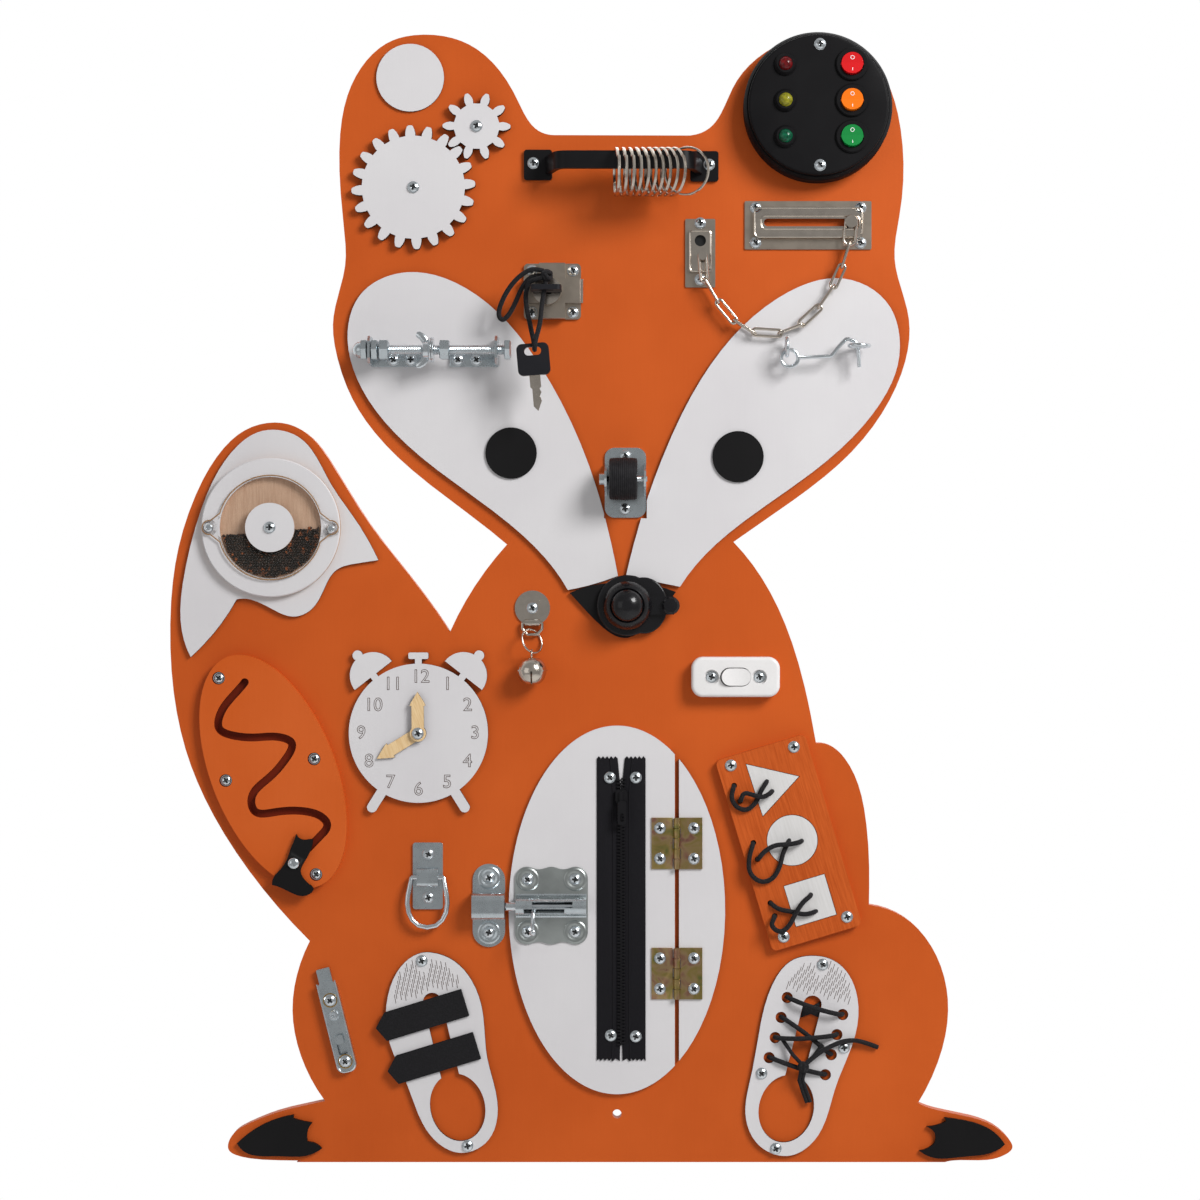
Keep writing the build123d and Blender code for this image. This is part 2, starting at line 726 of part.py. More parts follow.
battery_low = board_top + light_floor
battery_pack = slab(light_centre, battery_size[:2], battery_low, battery_size[2], 1.5)
circuit_board = slab(lamp_places[1], (12.0, 2 * lamp_pitch + 12), light_top - 4.6, 1.6)
nodes["lamp_circuit"] = [lamp(place) for place in lamp_places] + [battery_pack, circuit_board]

# ---- door chain ----

keeper_screws = fasten([(keeper_plate_centre[0], keeper_boss_centre[1] + side * keeper_screw_reach)
                        for side in (1, -1)], board_top + chain_plate_thick)
plate_screw_steps = [half_size / 2 - inset for half_size, inset in zip(chain_plate_size, chain_screw_inset)]
plate_screws = fasten([(chain_plate_centre[0] + i * plate_screw_steps[0],
                        chain_plate_centre[1] + j * plate_screw_steps[1]) for i in (-1, 1) for j in (-1, 1)],
                      board_top + chain_plate_thick)
frame_centre = (chain_plate_centre[0], chain_frame_z)
slot_left = frame_centre[0] - chain_frame_size[0] / 2 + chain_slot_margins[0]
slot_right = frame_centre[0] + chain_frame_size[0] / 2 - chain_slot_margins[1]
fixed_stud, slide_stud = chain_joints[0], (slot_right - chain_stud_back, chain_frame_z)
chain_joints.append(slide_stud)
boss_top = board_top + chain_plate_thick + keeper_boss_thick
keeper = slab(keeper_plate_centre, keeper_plate_size, board_top, chain_plate_thick, 1.0)
keeper += slab(keeper_boss_centre, keeper_boss_size, board_top, boss_top - board_top, 1.5)
keeper -= post((keeper_boss_centre[0], keeper_boss_centre[1] + keeper_hole_rise), keeper_hole_radius,
               board_top + chain_plate_thick, keeper_boss_thick)
keeper += post(fixed_stud, stud_neck_radius, board_top, chain_height - board_top + chain_wire + moving_gap)
keeper += post(fixed_stud, stud_cap_radius, chain_height + chain_wire + moving_gap, stud_cap_thick)
keeper = drilled(keeper, keeper_screws, screw_shank_radius + plate_hole_gap, board_top,
                 board_top + chain_plate_thick)

frame_top = board_top + chain_frame_rise
slide_plate = slab(chain_plate_centre, chain_plate_size, board_top, chain_plate_thick, 1.0)
slide_plate += slab(frame_centre, chain_frame_size, board_top, chain_frame_rise, 1.5)
cavity = (chain_frame_size[0] - 2 * chain_plate_thick, chain_frame_size[1] - 2 * chain_plate_thick)
slide_plate -= slab(frame_centre, cavity, board_top, chain_frame_rise - chain_plate_thick)
slot_shape = Pos((slot_left + slot_right) / 2, chain_frame_z) * SlotOverall(slot_right - slot_left,
                                                                            chain_slot_wide)
slide_plate -= prism(slot_shape, board_top, chain_frame_rise)
slide_plate = drilled(slide_plate, plate_screws, screw_head_radius + moving_gap,
                      board_top + chain_plate_thick,
                      frame_top)
slide_plate = drilled(slide_plate, plate_screws, screw_shank_radius + plate_hole_gap, board_top, frame_top)
nodes["chain_plates"] = [keeper, slide_plate]

shoe_top = frame_top - chain_plate_thick - moving_gap
shoe_low = shoe_top - stud_shoe_thick
cap_low = chain_height + chain_wire + moving_gap
stud = post(slide_stud, slide_cap_radius, shoe_low, stud_shoe_thick)
stud += post(slide_stud, stud_neck_radius, shoe_low, cap_low - shoe_low)
stud += post(slide_stud, slide_cap_radius, cap_low, stud_cap_thick)
nodes["chain_stud"] = [stud]


def chain_link(index):
    # even links lie flat against the board, odd links stand on edge
    start, end = Vector(*chain_joints[index]), Vector(*chain_joints[index + 1])
    along = (end - start).normalized()
    # the first link goes round the fixed stud, the last and widest one round the sliding stud
    bend = chain_end_bend if index == len(chain_joints) - 2 else chain_bend
    tail_reach = chain_bend if index == 0 else 0.0
    tail_point = start - along * tail_reach
    head_point = end + along * bend
    middle = (tail_point + head_point) * 0.5
    length = (head_point - tail_point).length
    path = SlotOverall(length, 2 * bend).wire()
    section = Plane(origin=path @ 0, z_dir=path % 0) * Circle(chain_wire)
    loop = sweep(section, path=path)
    roll = 90 if index % 2 == 0 else 0
    lean = -degrees(atan2(along.Y, along.X))
    return Pos(middle.X, -chain_height, middle.Y) * Rot(0, lean, 0) * Rot(roll, 0, 0) * loop


links = [chain_link(index) for index in range(len(chain_joints) - 1)]
nodes["chain_left"] = links[:chain_left_count]
nodes["chain_right"] = links[chain_left_count:]

# ---- gate hook ----

hook_x, hook_z = hook_eye_centre
hook_eye = Pos(hook_x, -hook_height, hook_z) * Rot(90, 0, 0) * Torus(hook_eye_radius, hook_wire)
hook_points = [
    (hook_x + hook_eye_radius, -hook_height, hook_z + 0.5), (151.0, -hook_height, 536.8),
    (156.5, -hook_height, 543.5), (162.0, -hook_height, 549.5), (168.4, -hook_height, 547.0),
    (170.2, -hook_height, 540.0), (171.0, -hook_height, 529.0),
]
hook_bar = cord(hook_points, hook_wire, 3.0)
nodes["gate_hook"] = [hook_eye + hook_bar]


def screw_eye(place, ring, axis_turn):
    eye = Pos(place[0], -hook_height, place[1]) * axis_turn * Torus(ring, hook_wire)
    stem_top = hook_height - ring + hook_wire * 0.4
    return eye + post(place, hook_wire, screw_tip_height, stem_top - screw_tip_height)


screw_eyes = [screw_eye(hook_post, hook_post_radius, Rot(0, 90, 0)),
              screw_eye(hook_catch, hook_catch_radius, Rot(0, 0, 0))]

# ---- threaded bolt ----


def angle_bracket(ear_x, strip_end):
    side = 1 if strip_end > ear_x else -1
    strip_centre = ((ear_x + strip_end) / 2, bracket_strip_z)
    strip = slab(strip_centre, (abs(strip_end - ear_x), bracket_strip_wide), panel_top, bracket_thick, 0.5)
    ear = slab((ear_x + side * bracket_thick / 2, bolt_z), (bracket_thick, bracket_ear[0]), panel_top,
               bracket_ear[1])
    bore = rod_x(ear_x - 3, ear_x + 3, bolt_z, bolt_height, bolt_radius + running_gap)
    return strip + ear - bore


bracket_screws = [(-158.3, bracket_strip_z), (-146.0, bracket_strip_z), (-112.6, bracket_strip_z),
                  (-99.5, bracket_strip_z)]
fasten(bracket_screws, panel_top + bracket_thick)
brackets = [drilled(angle_bracket(*ends), bracket_screws, screw_shank_radius + plate_hole_gap, panel_top,
                    panel_top + bracket_thick) for ends in (bracket_left, bracket_right)]
long_bolt = rod_x(*bolt_span, bolt_z, bolt_height, bolt_radius)
long_bolt += hex_prism(bolt_span[1], bolt_span[1] + bolt_head_thick, bolt_z, bolt_height)
bolt_hole = rod_x(*bolt_span, bolt_z, bolt_height, bolt_radius)
cap_low = bracket_left[0] - 0.6
cap_nut = hex_prism(cap_low - 4.5, cap_low, bolt_z, bolt_height)
cap_nut += Pos(cap_low - 4.5, -bolt_height, bolt_z) * Sphere(nut_flats / 2 - 0.6) & Pos(
    cap_low - 10, -bolt_height, bolt_z) * Box(11 + 9, 30, 30)
fixed_nuts = [cap_nut - bolt_hole,
              hex_prism(-172.4, -167.6, bolt_z, bolt_height) - bolt_hole,
              hex_prism(-166.8, -160.0, bolt_z, bolt_height) - bolt_hole,
              hex_prism(-124.2, -124.2 + nut_thick, bolt_z, bolt_height) - bolt_hole]
nodes["threaded_bolt"] = brackets + [long_bolt] + fixed_nuts


def washer(x):
    disc = rod_x(x, x + washer_thick, bolt_z, bolt_height, washer_radius)
    return disc - rod_x(x - 1, x + washer_thick + 1, bolt_z, bolt_height, bolt_radius + running_gap)


wing_face = wing_nut_x + wing_hub_thick / 2
nodes["nut_washer"] = [washer(wing_face + 0.3), washer(wing_face + 0.6 + washer_thick)]
wing_hub = rod_x(wing_nut_x - wing_hub_thick / 2, wing_face, bolt_z, bolt_height, wing_hub_radius)
wing_shape = make_face(Polyline((wing_face, 3.5), (wing_face, 8.0), (wing_face - 6.5, 12.6),
                                (wing_face - 9.6, 10.4),
                                (wing_nut_x - wing_hub_thick / 2, 3.5), close=True))
wings = [prism(wing_shape, -1.1, 2.2), Rot(180, 0, 0) * prism(wing_shape, -1.1, 2.2)]
wing_nut = wing_hub + [Pos(0, -bolt_height, bolt_z) * wing for wing in wings]
nodes["wing_nut"] = [wing_nut - rod_x(wing_nut_x - 20, wing_nut_x + 20, bolt_z, bolt_height,
                                      bolt_radius + running_gap)]

# ---- lock, key, spare key ----

lock_top = board_top + lock_thick
lock_screws = [(lock_centre[0] + i * 14.6, lock_centre[1] + j * 14.8) for i in (-1, 1) for j in (-1, 1)]
fasten(lock_screws, board_top + lock_flange_thick)
lock_case = slab(lock_centre, lock_size, board_top, lock_thick, 3.0)
lock_case = fillet(lock_case.edges().filter_by(lambda edge: edge.center().Y < -lock_top + 0.01), 0.6)
corner_offset = (lock_size[0] / 2 - lock_corner / 2 + 1, lock_size[1] / 2 - lock_corner / 2 + 1)
lock_case -= [slab((lock_centre[0] + i * corner_offset[0], lock_centre[1] + j * corner_offset[1]),
                   (lock_corner + 2, lock_corner + 2), board_top + lock_flange_thick, lock_thick)
              for i in (-1, 1) for j in (-1, 1)]
barrel_top = lock_top + lock_barrel_thick
lock_case += post(lock_barrel_centre, lock_barrel_radius, lock_top - 1, lock_barrel_thick + 1)
bolt_low = board_top + 1.6
bolt_centre_z = lock_centre[1]
bolt_end_x = lock_centre[0] + lock_size[0] / 2 + lock_bolt_reach
bolt_start_x = bolt_end_x - lock_bolt_size[0]
lock_case -= slab((bolt_start_x - 0.3 + 10, bolt_centre_z), (20.0, lock_bolt_size[1] + 0.2), bolt_low - 0.1,
                  lock_bolt_size[2] + 0.2)
key_bore_radius = lock_plug_radius + running_gap
lock_case -= post(lock_barrel_centre, key_bore_radius, bolt_low + lock_bolt_size[2] + 1, 40)
lock_case = drilled(lock_case, lock_screws, screw_shank_radius + plate_hole_gap, board_top,
                    board_top + lock_flange_thick)
nodes["lock_case"] = [lock_case]
nodes["lock_bolt"] = [slab(((bolt_start_x + bolt_end_x) / 2, bolt_centre_z), lock_bolt_size[:2], bolt_low,
                           lock_bolt_size[2])]
plug_top = barrel_top - 0.6
plug_low = bolt_low + lock_bolt_size[2] + 1.4
bow_low = barrel_top + key_bow_gap
key = post(lock_barrel_centre, lock_plug_radius, plug_low, plug_top - plug_low)
key += slab(lock_barrel_centre, key_blade, plug_top, bow_low - plug_top + 2)
bow_face = RectangleRounded(key_bow[0], key_bow[2], 3.0) - Pos(0, 4.5) * SlotOverall(11.0, 4.6)
bow_plate = Pos(lock_barrel_centre[0], -bow_low - key_bow[2] / 2, lock_barrel_centre[1] - key_bow[1] / 2)
key += bow_plate * Rot(0, 0, 180) * extrude(bow_face, amount=key_bow[1])
nodes["lock_key"] = [key]

spare_x, spare_z = spare_key_place
spare_head = RectangleRounded(spare_bow[0], spare_bow[1], 4.0) - Pos(0, 5.8) * SlotOverall(12.0, 6.0)
spare_low = spare_key_height - spare_bow[2] / 2
spare = prism(Pos(spare_x, spare_z) * Rot(0, 0, 5) * spare_head, spare_low, spare_bow[2])
blade_shape = make_face(Polyline((-3.8, 0), (3.8, 0), (3.8, -9.0), (2.6, -10.5), (3.6, -13.0), (2.4, -15.5),
                                 (3.4, -19.0), (0.4, -spare_blade[1]), (-2.6, -spare_blade[1] + 3.5),
                                 (-2.6, -10.5), (-3.8, -9.0), close=True))
spare += prism(Pos(spare_x, spare_z) * Rot(0, 0, 5) * Pos(0, -spare_bow[1] / 2 + 1) * blade_shape,
               spare_key_height - spare_blade[2] / 2, spare_blade[2])
nodes["spare_key"] = [spare]

# the black cord runs from the knot through both bows and back, with one loop left over
knot_place = (-48.5, -42.5, 591.4)
knot_radius = 4.6
strand_points = [
    (-49.3, -42.5, 587.5), (-50.4, -42.4, 581.0), (-52.2, -43.4, 570.6), (-52.9, -44.8, 560.2),
    (-54.6, -46.2, 552.0), (-56.4, -46.9, 546.0), (-57.0, -46.7, 540.7), (-57.2, -42.0, 539.3),
    (-57.4, -37.3, 540.7), (-58.0, -37.1, 546.0), (-59.6, -35.4, 553.0), (-61.4, -34.6, 561.6),
    (-63.2, -35.4, 570.0), (-63.8, -37.4, 579.0), (-61.4, -40.4, 587.0), (-56.6, -43.2, 588.6),
    (-51.9, -43.7, 589.7),
]
loop_points = [
    (-50.9, -42.1, 594.6), (-57.6, -41.6, 596.6), (-64.6, -40.2, 593.6), (-71.2, -38.0, 588.4),
    (-77.2, -35.6, 580.6), (-81.8, -33.0, 571.4), (-83.2, -31.4, 564.4), (-80.2, -30.8, 560.8),
    (-75.6, -31.2, 565.0), (-71.0, -32.4, 573.4), (-67.4, -34.0, 582.0), (-62.6, -36.2, 589.2),
    (-57.0, -38.0, 591.9), (-51.5, -39.9, 591.8),
]
knot = Pos(*knot_place) * Sphere(knot_radius)
strand = free_cord("key cord", strand_points, key_cord_radius) - knot
loop = free_cord("key loop", loop_points, key_cord_radius) - knot
nodes["key_cord"] = [knot, strand, loop]

# ---- fixed caster ----

caster_screws = fasten([(6.0, 467.0), (5.7, 429.5)], board_top + caster_thick)
caster_x, caster_z = caster_centre
axle_z = caster_z + 2
axle_height = board_top + caster_axle_rise
ear_xs = (caster_x - caster_plate[0] / 2 + caster_thick / 2,
          caster_x + caster_plate[0] / 2 - caster_thick / 2)
caster_plate_solid = slab(caster_centre, caster_plate, board_top, caster_thick, 7.0)
ear_side = make_face(Polyline((-board_top, axle_z - caster_ear_wide / 2),
                              (-board_top, axle_z + caster_ear_wide / 2),
                              (-board_top - 6, axle_z + caster_ear_wide / 2 - 2),
                              (-axle_height - 3, axle_z + 5.5),
                              (-axle_height - 5.5, axle_z), (-axle_height - 3, axle_z - 5.5),
                              (-board_top - 6, axle_z - caster_ear_wide / 2 + 2), close=True))
caster_ears = [extrude(Plane.YZ.offset(x - caster_thick / 2) * ear_side, amount=caster_thick)
               for x in ear_xs]
axle_bore = rod_x(ear_xs[0] - 10, ear_xs[1] + 10, axle_z, axle_height, caster_axle_radius)
caster_frame = caster_plate_solid + caster_ears - axle_bore
caster_frame = drilled(caster_frame, caster_screws, screw_shank_radius + plate_hole_gap, board_top,
                       board_top + caster_thick)
axle = rod_x(ear_xs[0] - 3, ear_xs[1] + 1.6, axle_z, axle_height, caster_axle_radius)
axle += rod_x(ear_xs[0] - 4.4, ear_xs[0] - caster_thick / 2, axle_z, axle_height, 4.2)
nodes["caster_bracket"] = [caster_frame, axle]
wheel_x = caster_x - 1.4
wheel = rod_x(wheel_x - caster_wheel_wide / 2, wheel_x + caster_wheel_wide / 2, axle_z, axle_height,
              caster_wheel_radius)
wheel = fillet(wheel.edges(), 1.2)
wheel -= rod_x(wheel_x - 20, wheel_x + 20, axle_z, axle_height, caster_axle_radius + running_gap)
nodes["caster_wheel"] = [wheel]

# ---- bicycle bell ----

bell_low = panel_top
bell_base_top = bell_low + bell_base_thick
bell_x, bell_z = bell_centre
bell_base_shape = Pos(*bell_centre) * Circle(bell_base_radius)
bell_base_shape += Pos(bell_x + 11.5, bell_z) * Ellipse(bell_lug[0], bell_lug[1] / 2)
bell_base = prism(bell_base_shape, bell_low, bell_base_thick)
bell_base = fillet(bell_base.edges().filter_by(lambda edge: edge.center().Y < -bell_base_top + 0.01), 1.2)
lever_low = bell_base_top + moving_gap
lever_top = lever_low + bell_lever_thick
dome_low = lever_top + moving_gap
bell_base += post(bell_centre, bell_post_radius, bell_base_top, dome_low - bell_base_top)
dome_rim_top = dome_low + bell_dome_rise
dome_profile = make_face([
    Line((0, -dome_low), (bell_dome_radius, -dome_low)),
    Spline((bell_dome_radius, -dome_low), (bell_dome_radius - 1.6, -dome_low - 5.5),
           (bell_cap_radius + 0.6, -dome_rim_top)),
    Line((bell_cap_radius + 0.6, -dome_rim_top), (bell_cap_radius - 0.4, -dome_rim_top + 1)),
    Spline((bell_cap_radius - 0.4, -dome_rim_top + 1), (bell_cap_radius - 2.2, -dome_rim_top - 3.4),
           (bell_cap_radius * 0.45, -dome_rim_top - bell_cap_rise + 0.8), (0, -dome_rim_top - bell_cap_rise),
           tangents=((0, -1), (-1, 0))),
    Line((0, -dome_rim_top - bell_cap_rise), (0, -dome_low)),
])
bell_dome = Pos(bell_x, 0, bell_z) * revolve(dome_profile, Axis.Y)
nodes["bicycle_bell"] = [bell_base, bell_dome]
lever_arm = Pos(bell_x + bell_lever_reach / 2, bell_z) * Rectangle(bell_lever_reach, bell_lever_wide)
lever_arm += Pos(*bell_centre) * Circle(bell_post_radius + 4)
lever_arm -= Pos(bell_x + bell_lever_reach, bell_z) * Rectangle(8, 40) - Pos(
    bell_x + bell_lever_reach - bell_lever_wide / 2, bell_z) * Circle(bell_lever_wide / 2)
lever = prism(lever_arm, lever_low, bell_lever_thick)
tab_low = lever_top - 0.5
tab_x = bell_x + bell_lever_reach - bell_lever_wide / 2
lever += turned((tab_x, bell_z), [(0, tab_low), (bell_lever_wide / 2 - 0.2, tab_low),
                                  (bell_lever_wide / 2 - 0.2, tab_low + 3),
                                  (bell_lever_wide / 2 - 1.6, tab_low + 4.4), (0, tab_low + 4.8)])
lever -= post(bell_centre, bell_post_radius + running_gap, lever_low, bell_lever_thick)
nodes["bell_lever"] = [lever]

# ---- clip, rings and jingle bell ----

clip_x, clip_z = clip_centre
fasten([clip_centre], board_top + 2.6)
clip_washer = post(clip_centre, clip_washer_radius, board_top, 1.2)
clip_plate = slab((clip_x, clip_z - 2.0), (clip_wide, 16.0), board_top + 1.2, 1.4, 2.0)
clip_roll_z = clip_z - 10.4
clip_roll = rod_x(clip_x - 5.2, clip_x + 5.2, clip_roll_z, board_top + 3.4, 2.6)
dee_bar = rod_x(clip_x - 7.0, clip_x + 7.0, clip_roll_z, board_top + 3.4, jingle_wire + 0.4)
clip_bore = rod_x(clip_x - 8.0, clip_x + 8.0, clip_roll_z, board_top + 3.4, jingle_wire + 0.4 + running_gap)
clip_roll -= clip_bore
clip = drilled(clip_washer + clip_plate, [clip_centre], screw_shank_radius + plate_hole_gap, board_top,
               panel_top)
clip -= clip_bore
dee_low_z = clip_roll_z - 8.4
dee_points = [
    (clip_x - 7.0, -board_top - 3.4, clip_roll_z), (clip_x - 7.0, -board_top - 3.4, clip_roll_z - 4.4),
    (clip_x - 3.4, -board_top - 3.4, dee_low_z), (clip_x + 3.4, -board_top - 3.4, dee_low_z),
    (clip_x + 7.0, -board_top - 3.4, clip_roll_z - 4.4), (clip_x + 7.0, -board_top - 3.4, clip_roll_z),
]
dee_ring = cord(dee_points, jingle_wire + 0.4, 2.2) + dee_bar
dee_height = board_top + 3.4
ring_tilt, ring_turn = 26.0, 40.0
ring_top_z = dee_low_z + 3.4
ring_rise = jingle_ring_radius * sin(radians(ring_tilt))
ring_drop = jingle_ring_radius * cos(radians(ring_tilt))
split_ring = Pos(clip_x, -dee_height - ring_rise, ring_top_z - ring_drop) * Rot(-ring_tilt, 0, 0) * Rot(
    0, 0, ring_turn) * Rot(90, 0, 0) * Torus(jingle_ring_radius, jingle_wire)
jingle_height = dee_height + 2 * ring_rise
loop_radius = 3.0
loop_z = ring_top_z - 2 * ring_drop - loop_radius + 2 * jingle_wire + 0.2
bell_half = 0.88 * jingle_bell_radius
jingle_z = loop_z - loop_radius - bell_half + 0.3
ball = Pos(clip_x, -jingle_height, jingle_z) * Sphere(jingle_bell_radius)
ball = ball & Pos(clip_x, -jingle_height, jingle_z) * Box(40, 40, 2 * bell_half)
ball += Pos(clip_x, -jingle_height, jingle_z + 0.5) * Cylinder(jingle_bell_radius + 0.7, 1.0)
ball -= Pos(clip_x, -jingle_height, jingle_z) * Sphere(jingle_bell_radius - 1.0)
ball -= Pos(clip_x, -jingle_height - jingle_bell_radius, jingle_z - 6.0) * Box(1.2, 16, 12)
bell_loop = Pos(clip_x, -jingle_height, loop_z) * Rot(0, 90, 0) * Torus(loop_radius, jingle_wire)
nodes["jingle_bell"] = [dee_ring, split_ring, ball + bell_loop]
jingle_fitting = [clip, clip_roll]

# ---- inline switch ----

switch_x, switch_z = line_switch_centre
line_screws = [(switch_x - 16.9, switch_z), (switch_x + 16.9, switch_z)]
line_top = board_top + line_switch_thick
line_body = slab(line_switch_centre, line_switch_size, board_top, line_switch_thick, line_switch_corner)
line_body = fillet(line_body.edges().filter_by(lambda edge: edge.center().Y < -line_top + 0.01), 2.6)
line_seat = line_top - 3.0
line_body -= [post(place, screw_head_radius + 1.0, line_seat, 4) for place in line_screws]
line_body = drilled(line_body, line_screws, screw_shank_radius + plate_hole_gap, board_top, line_top)
fasten(line_screws, line_seat)
line_pivot = line_top - 0.8
well = Pos(*line_switch_centre) * SlotOverall(line_rocker[0] + 2 * rocker_gap,
                                              line_rocker[1] + 2 * rocker_gap)
line_body -= prism(well, board_top + 2.4, line_switch_thick)
line_pin_z = (switch_z - line_rocker[1] / 2 - 2.4, switch_z + line_rocker[1] / 2 + 2.4)
line_body -= rod_z(switch_x, *line_pin_z, line_pivot - 2.2, rocker_pin_radius + running_gap)
nodes["line_switch_body"] = [line_body]
button_shape = SlotOverall(*line_rocker)
button_low = line_pivot - 2.2 - 3.4
line_button = prism(Pos(*line_switch_centre) * button_shape, button_low, line_top + 1.6 - button_low)
hollow = Pos(switch_x, -line_top - 1.6 - 42.0, switch_z) * Rot(90, 0, 0) * Rot(90, 0, 0) * Cylinder(43.0, 40)
line_button -= hollow
line_button += rod_z(switch_x, line_pin_z[0] + 0.3, line_pin_z[1] - 0.3, line_pivot - 2.2, rocker_pin_radius)
pivot_point = (switch_x, -line_pivot + 2.2, switch_z)
pivot_back = [-value for value in pivot_point]
line_button = Pos(*pivot_point) * Rot(0, 0, line_rocker_tilt) * Pos(*pivot_back) * line_button
nodes["line_switch_rocker"] = [line_button]

# ---- clock ----

clock_top = board_top + clock_thick


def clock_outline():
    outline = Circle(clock_radius)
    for side in (-1, 1):
        # bell: half a disc leaning outwards, with its striker ball
        bell_lean = side * 38
        bell = Rot(0, 0, -bell_lean) * Pos(0, clock_radius + 2.6) * (
            Circle(16.6) & Pos(0, 10.4) * Rectangle(40, 20.8))
        neck = Rot(0, 0, -bell_lean) * Pos(0, clock_radius - 1) * Rectangle(5.0, 10)
        ball_place = Rot(0, 0, -bell_lean) * Pos(0, clock_radius + 20.6) * Circle(3.6)
        foot = Rot(0, 0, 180 + side * 32) * Pos(0, clock_radius + 5.4) * Rectangle(7.2, 15.0)
        toe = Rot(0, 0, 180 + side * 32) * Pos(0, clock_radius + 12.6) * Circle(3.6)
        outline = outline + bell + neck + ball_place + foot + toe
    outline += Pos(0, clock_radius + 1.5) * Rectangle(4.8, 7.0)
    outline += Pos(0, clock_radius + 5.6) * RectangleRounded(14.2, 4.6, 1.2)
    return Pos(*clock_centre) * outline


clock_face = prism(clock_outline(), board_top, clock_thick)
nodes["clock_face"] = [drilled(clock_face, [clock_centre], screw_shank_radius + plate_hole_gap, board_top,
                               clock_top)]


def clock_hand(length, head_wide, shaft_wide, low, turn):
    # a blunt shaft with a spade head, pointing up before it is turned
    shape = Circle(clock_hub_radius)
    shape += Pos(0, length * 0.36) * Rectangle(shaft_wide, length * 0.72)
    head_low = length * 0.66
    shape += make_face(Polyline((-head_wide / 2, head_low), (-head_wide * 0.42, head_low + 2.4), (0, length),
                                (head_wide * 0.42, head_low + 2.4), (head_wide / 2, head_low), close=True))
    shape -= Circle(clock_pin_radius + running_gap)
    return prism(Pos(*clock_centre) * Rot(0, 0, turn) * shape, low, clock_hand_thick)


minute_low = clock_top + moving_gap
hour_low = minute_low + clock_hand_thick + moving_gap
hands_top = hour_low + clock_hand_thick
nodes["minute_hand"] = [clock_hand(minute_hand_length, 11.6, 8.6, minute_low, 121.6)]
nodes["hour_hand"] = [clock_hand(hour_hand_length, 11.4, 8.8, hour_low, 0.8)]
clock_screw = shoulder_screw(clock_centre, clock_top, hands_top, clock_pin_radius)

# ---- maze panel and its cat slider ----

maze_top = board_top + maze_thick
maze_seat = maze_top - screw_head_thick
maze_screws = fasten([(-282.0, 309.6), (-214.4, 252.4), (-276.9, 237.1), (-213.0, 170.6)], maze_seat)
groove_spans = [
    (-263.4, 306.7), (-272.6, 296.1), (-281.0, 283.4), (-281.6, 274.2), (-271.2, 268.9), (-254.2, 267.7),
    (-237.1, 267.5), (-230.4, 264.0), (-234.7, 252.0), (-248.1, 237.5), (-258.6, 224.4), (-256.3, 215.4),
    (-243.0, 214.6), (-220.0, 215.2), (-208.0, 210.6), (-207.6, 200.4),
]
groove_end = (-228.3, 178.9)
maze_panel = prism(Pos(*maze_centre) * Rot(0, 0, maze_tilt) * Ellipse(*maze_axes), board_top, maze_thick)
last_leg = Vector(*groove_spans[-1]) - Vector(*groove_end)
into_leg = last_leg.normalized() * -1
groove_line = Spline(*groove_spans, tangents=((-0.6, -0.8), (into_leg.X, into_leg.Y)))
groove = trace(groove_line, maze_groove_wide) + trace(Line(groove_spans[-1], groove_end), maze_groove_wide)
groove += [Pos(*place) * Circle(maze_groove_wide / 2)
           for place in (groove_spans[0], groove_spans[-1], groove_end)]
groove_low = maze_top - maze_groove_depth
maze_panel -= prism(groove, groove_low, maze_groove_depth)
maze_panel = drilled(maze_panel, maze_screws, screw_head_radius + moving_gap, maze_seat, maze_top)
maze_panel = drilled(maze_panel, maze_screws, screw_shank_radius, board_top, maze_top)
cat_place = groove_end
runner_wide = maze_groove_wide - 2 * moving_gap
runner = post(cat_place, runner_wide / 2, groove_low + moving_gap, maze_groove_depth - moving_gap)
cat_spans = [
    [(-226.5, 199.4), (-224.0, 196.2), (-221.0, 195.4), (-218.0, 195.8)],
    [(-218.0, 195.8), (-214.9, 196.0)],
    [(-214.9, 196.0), (-216.5, 188.0), (-221.0, 179.5), (-223.6, 173.0), (-221.4, 167.8), (-217.0, 163.6)],
    [(-217.0, 163.6), (-214.6, 159.8), (-219.2, 156.2), (-230.0, 158.0), (-243.6, 163.4)],
    [(-243.6, 163.4), (-242.6, 168.8), (-237.4, 175.0), (-232.8, 182.5), (-230.4, 189.5), (-228.8, 193.0)],
    [(-228.8, 193.0), (-226.5, 199.4)],
]
cat_low = maze_top + moving_gap
cat_body = prism(curved_outline(cat_spans), cat_low, cat_thick) + runner
cat_screw = screw(cat_place, cat_low + cat_thick, cat_thick + maze_groove_depth - 1.5)
cat_body -= post(cat_place, screw_shank_radius, groove_low, 30)
nodes["maze_panel"] = [maze_panel]
nodes["cat_slider"] = [cat_body, cat_screw]

# ---- shape panel, inserts and their laces ----

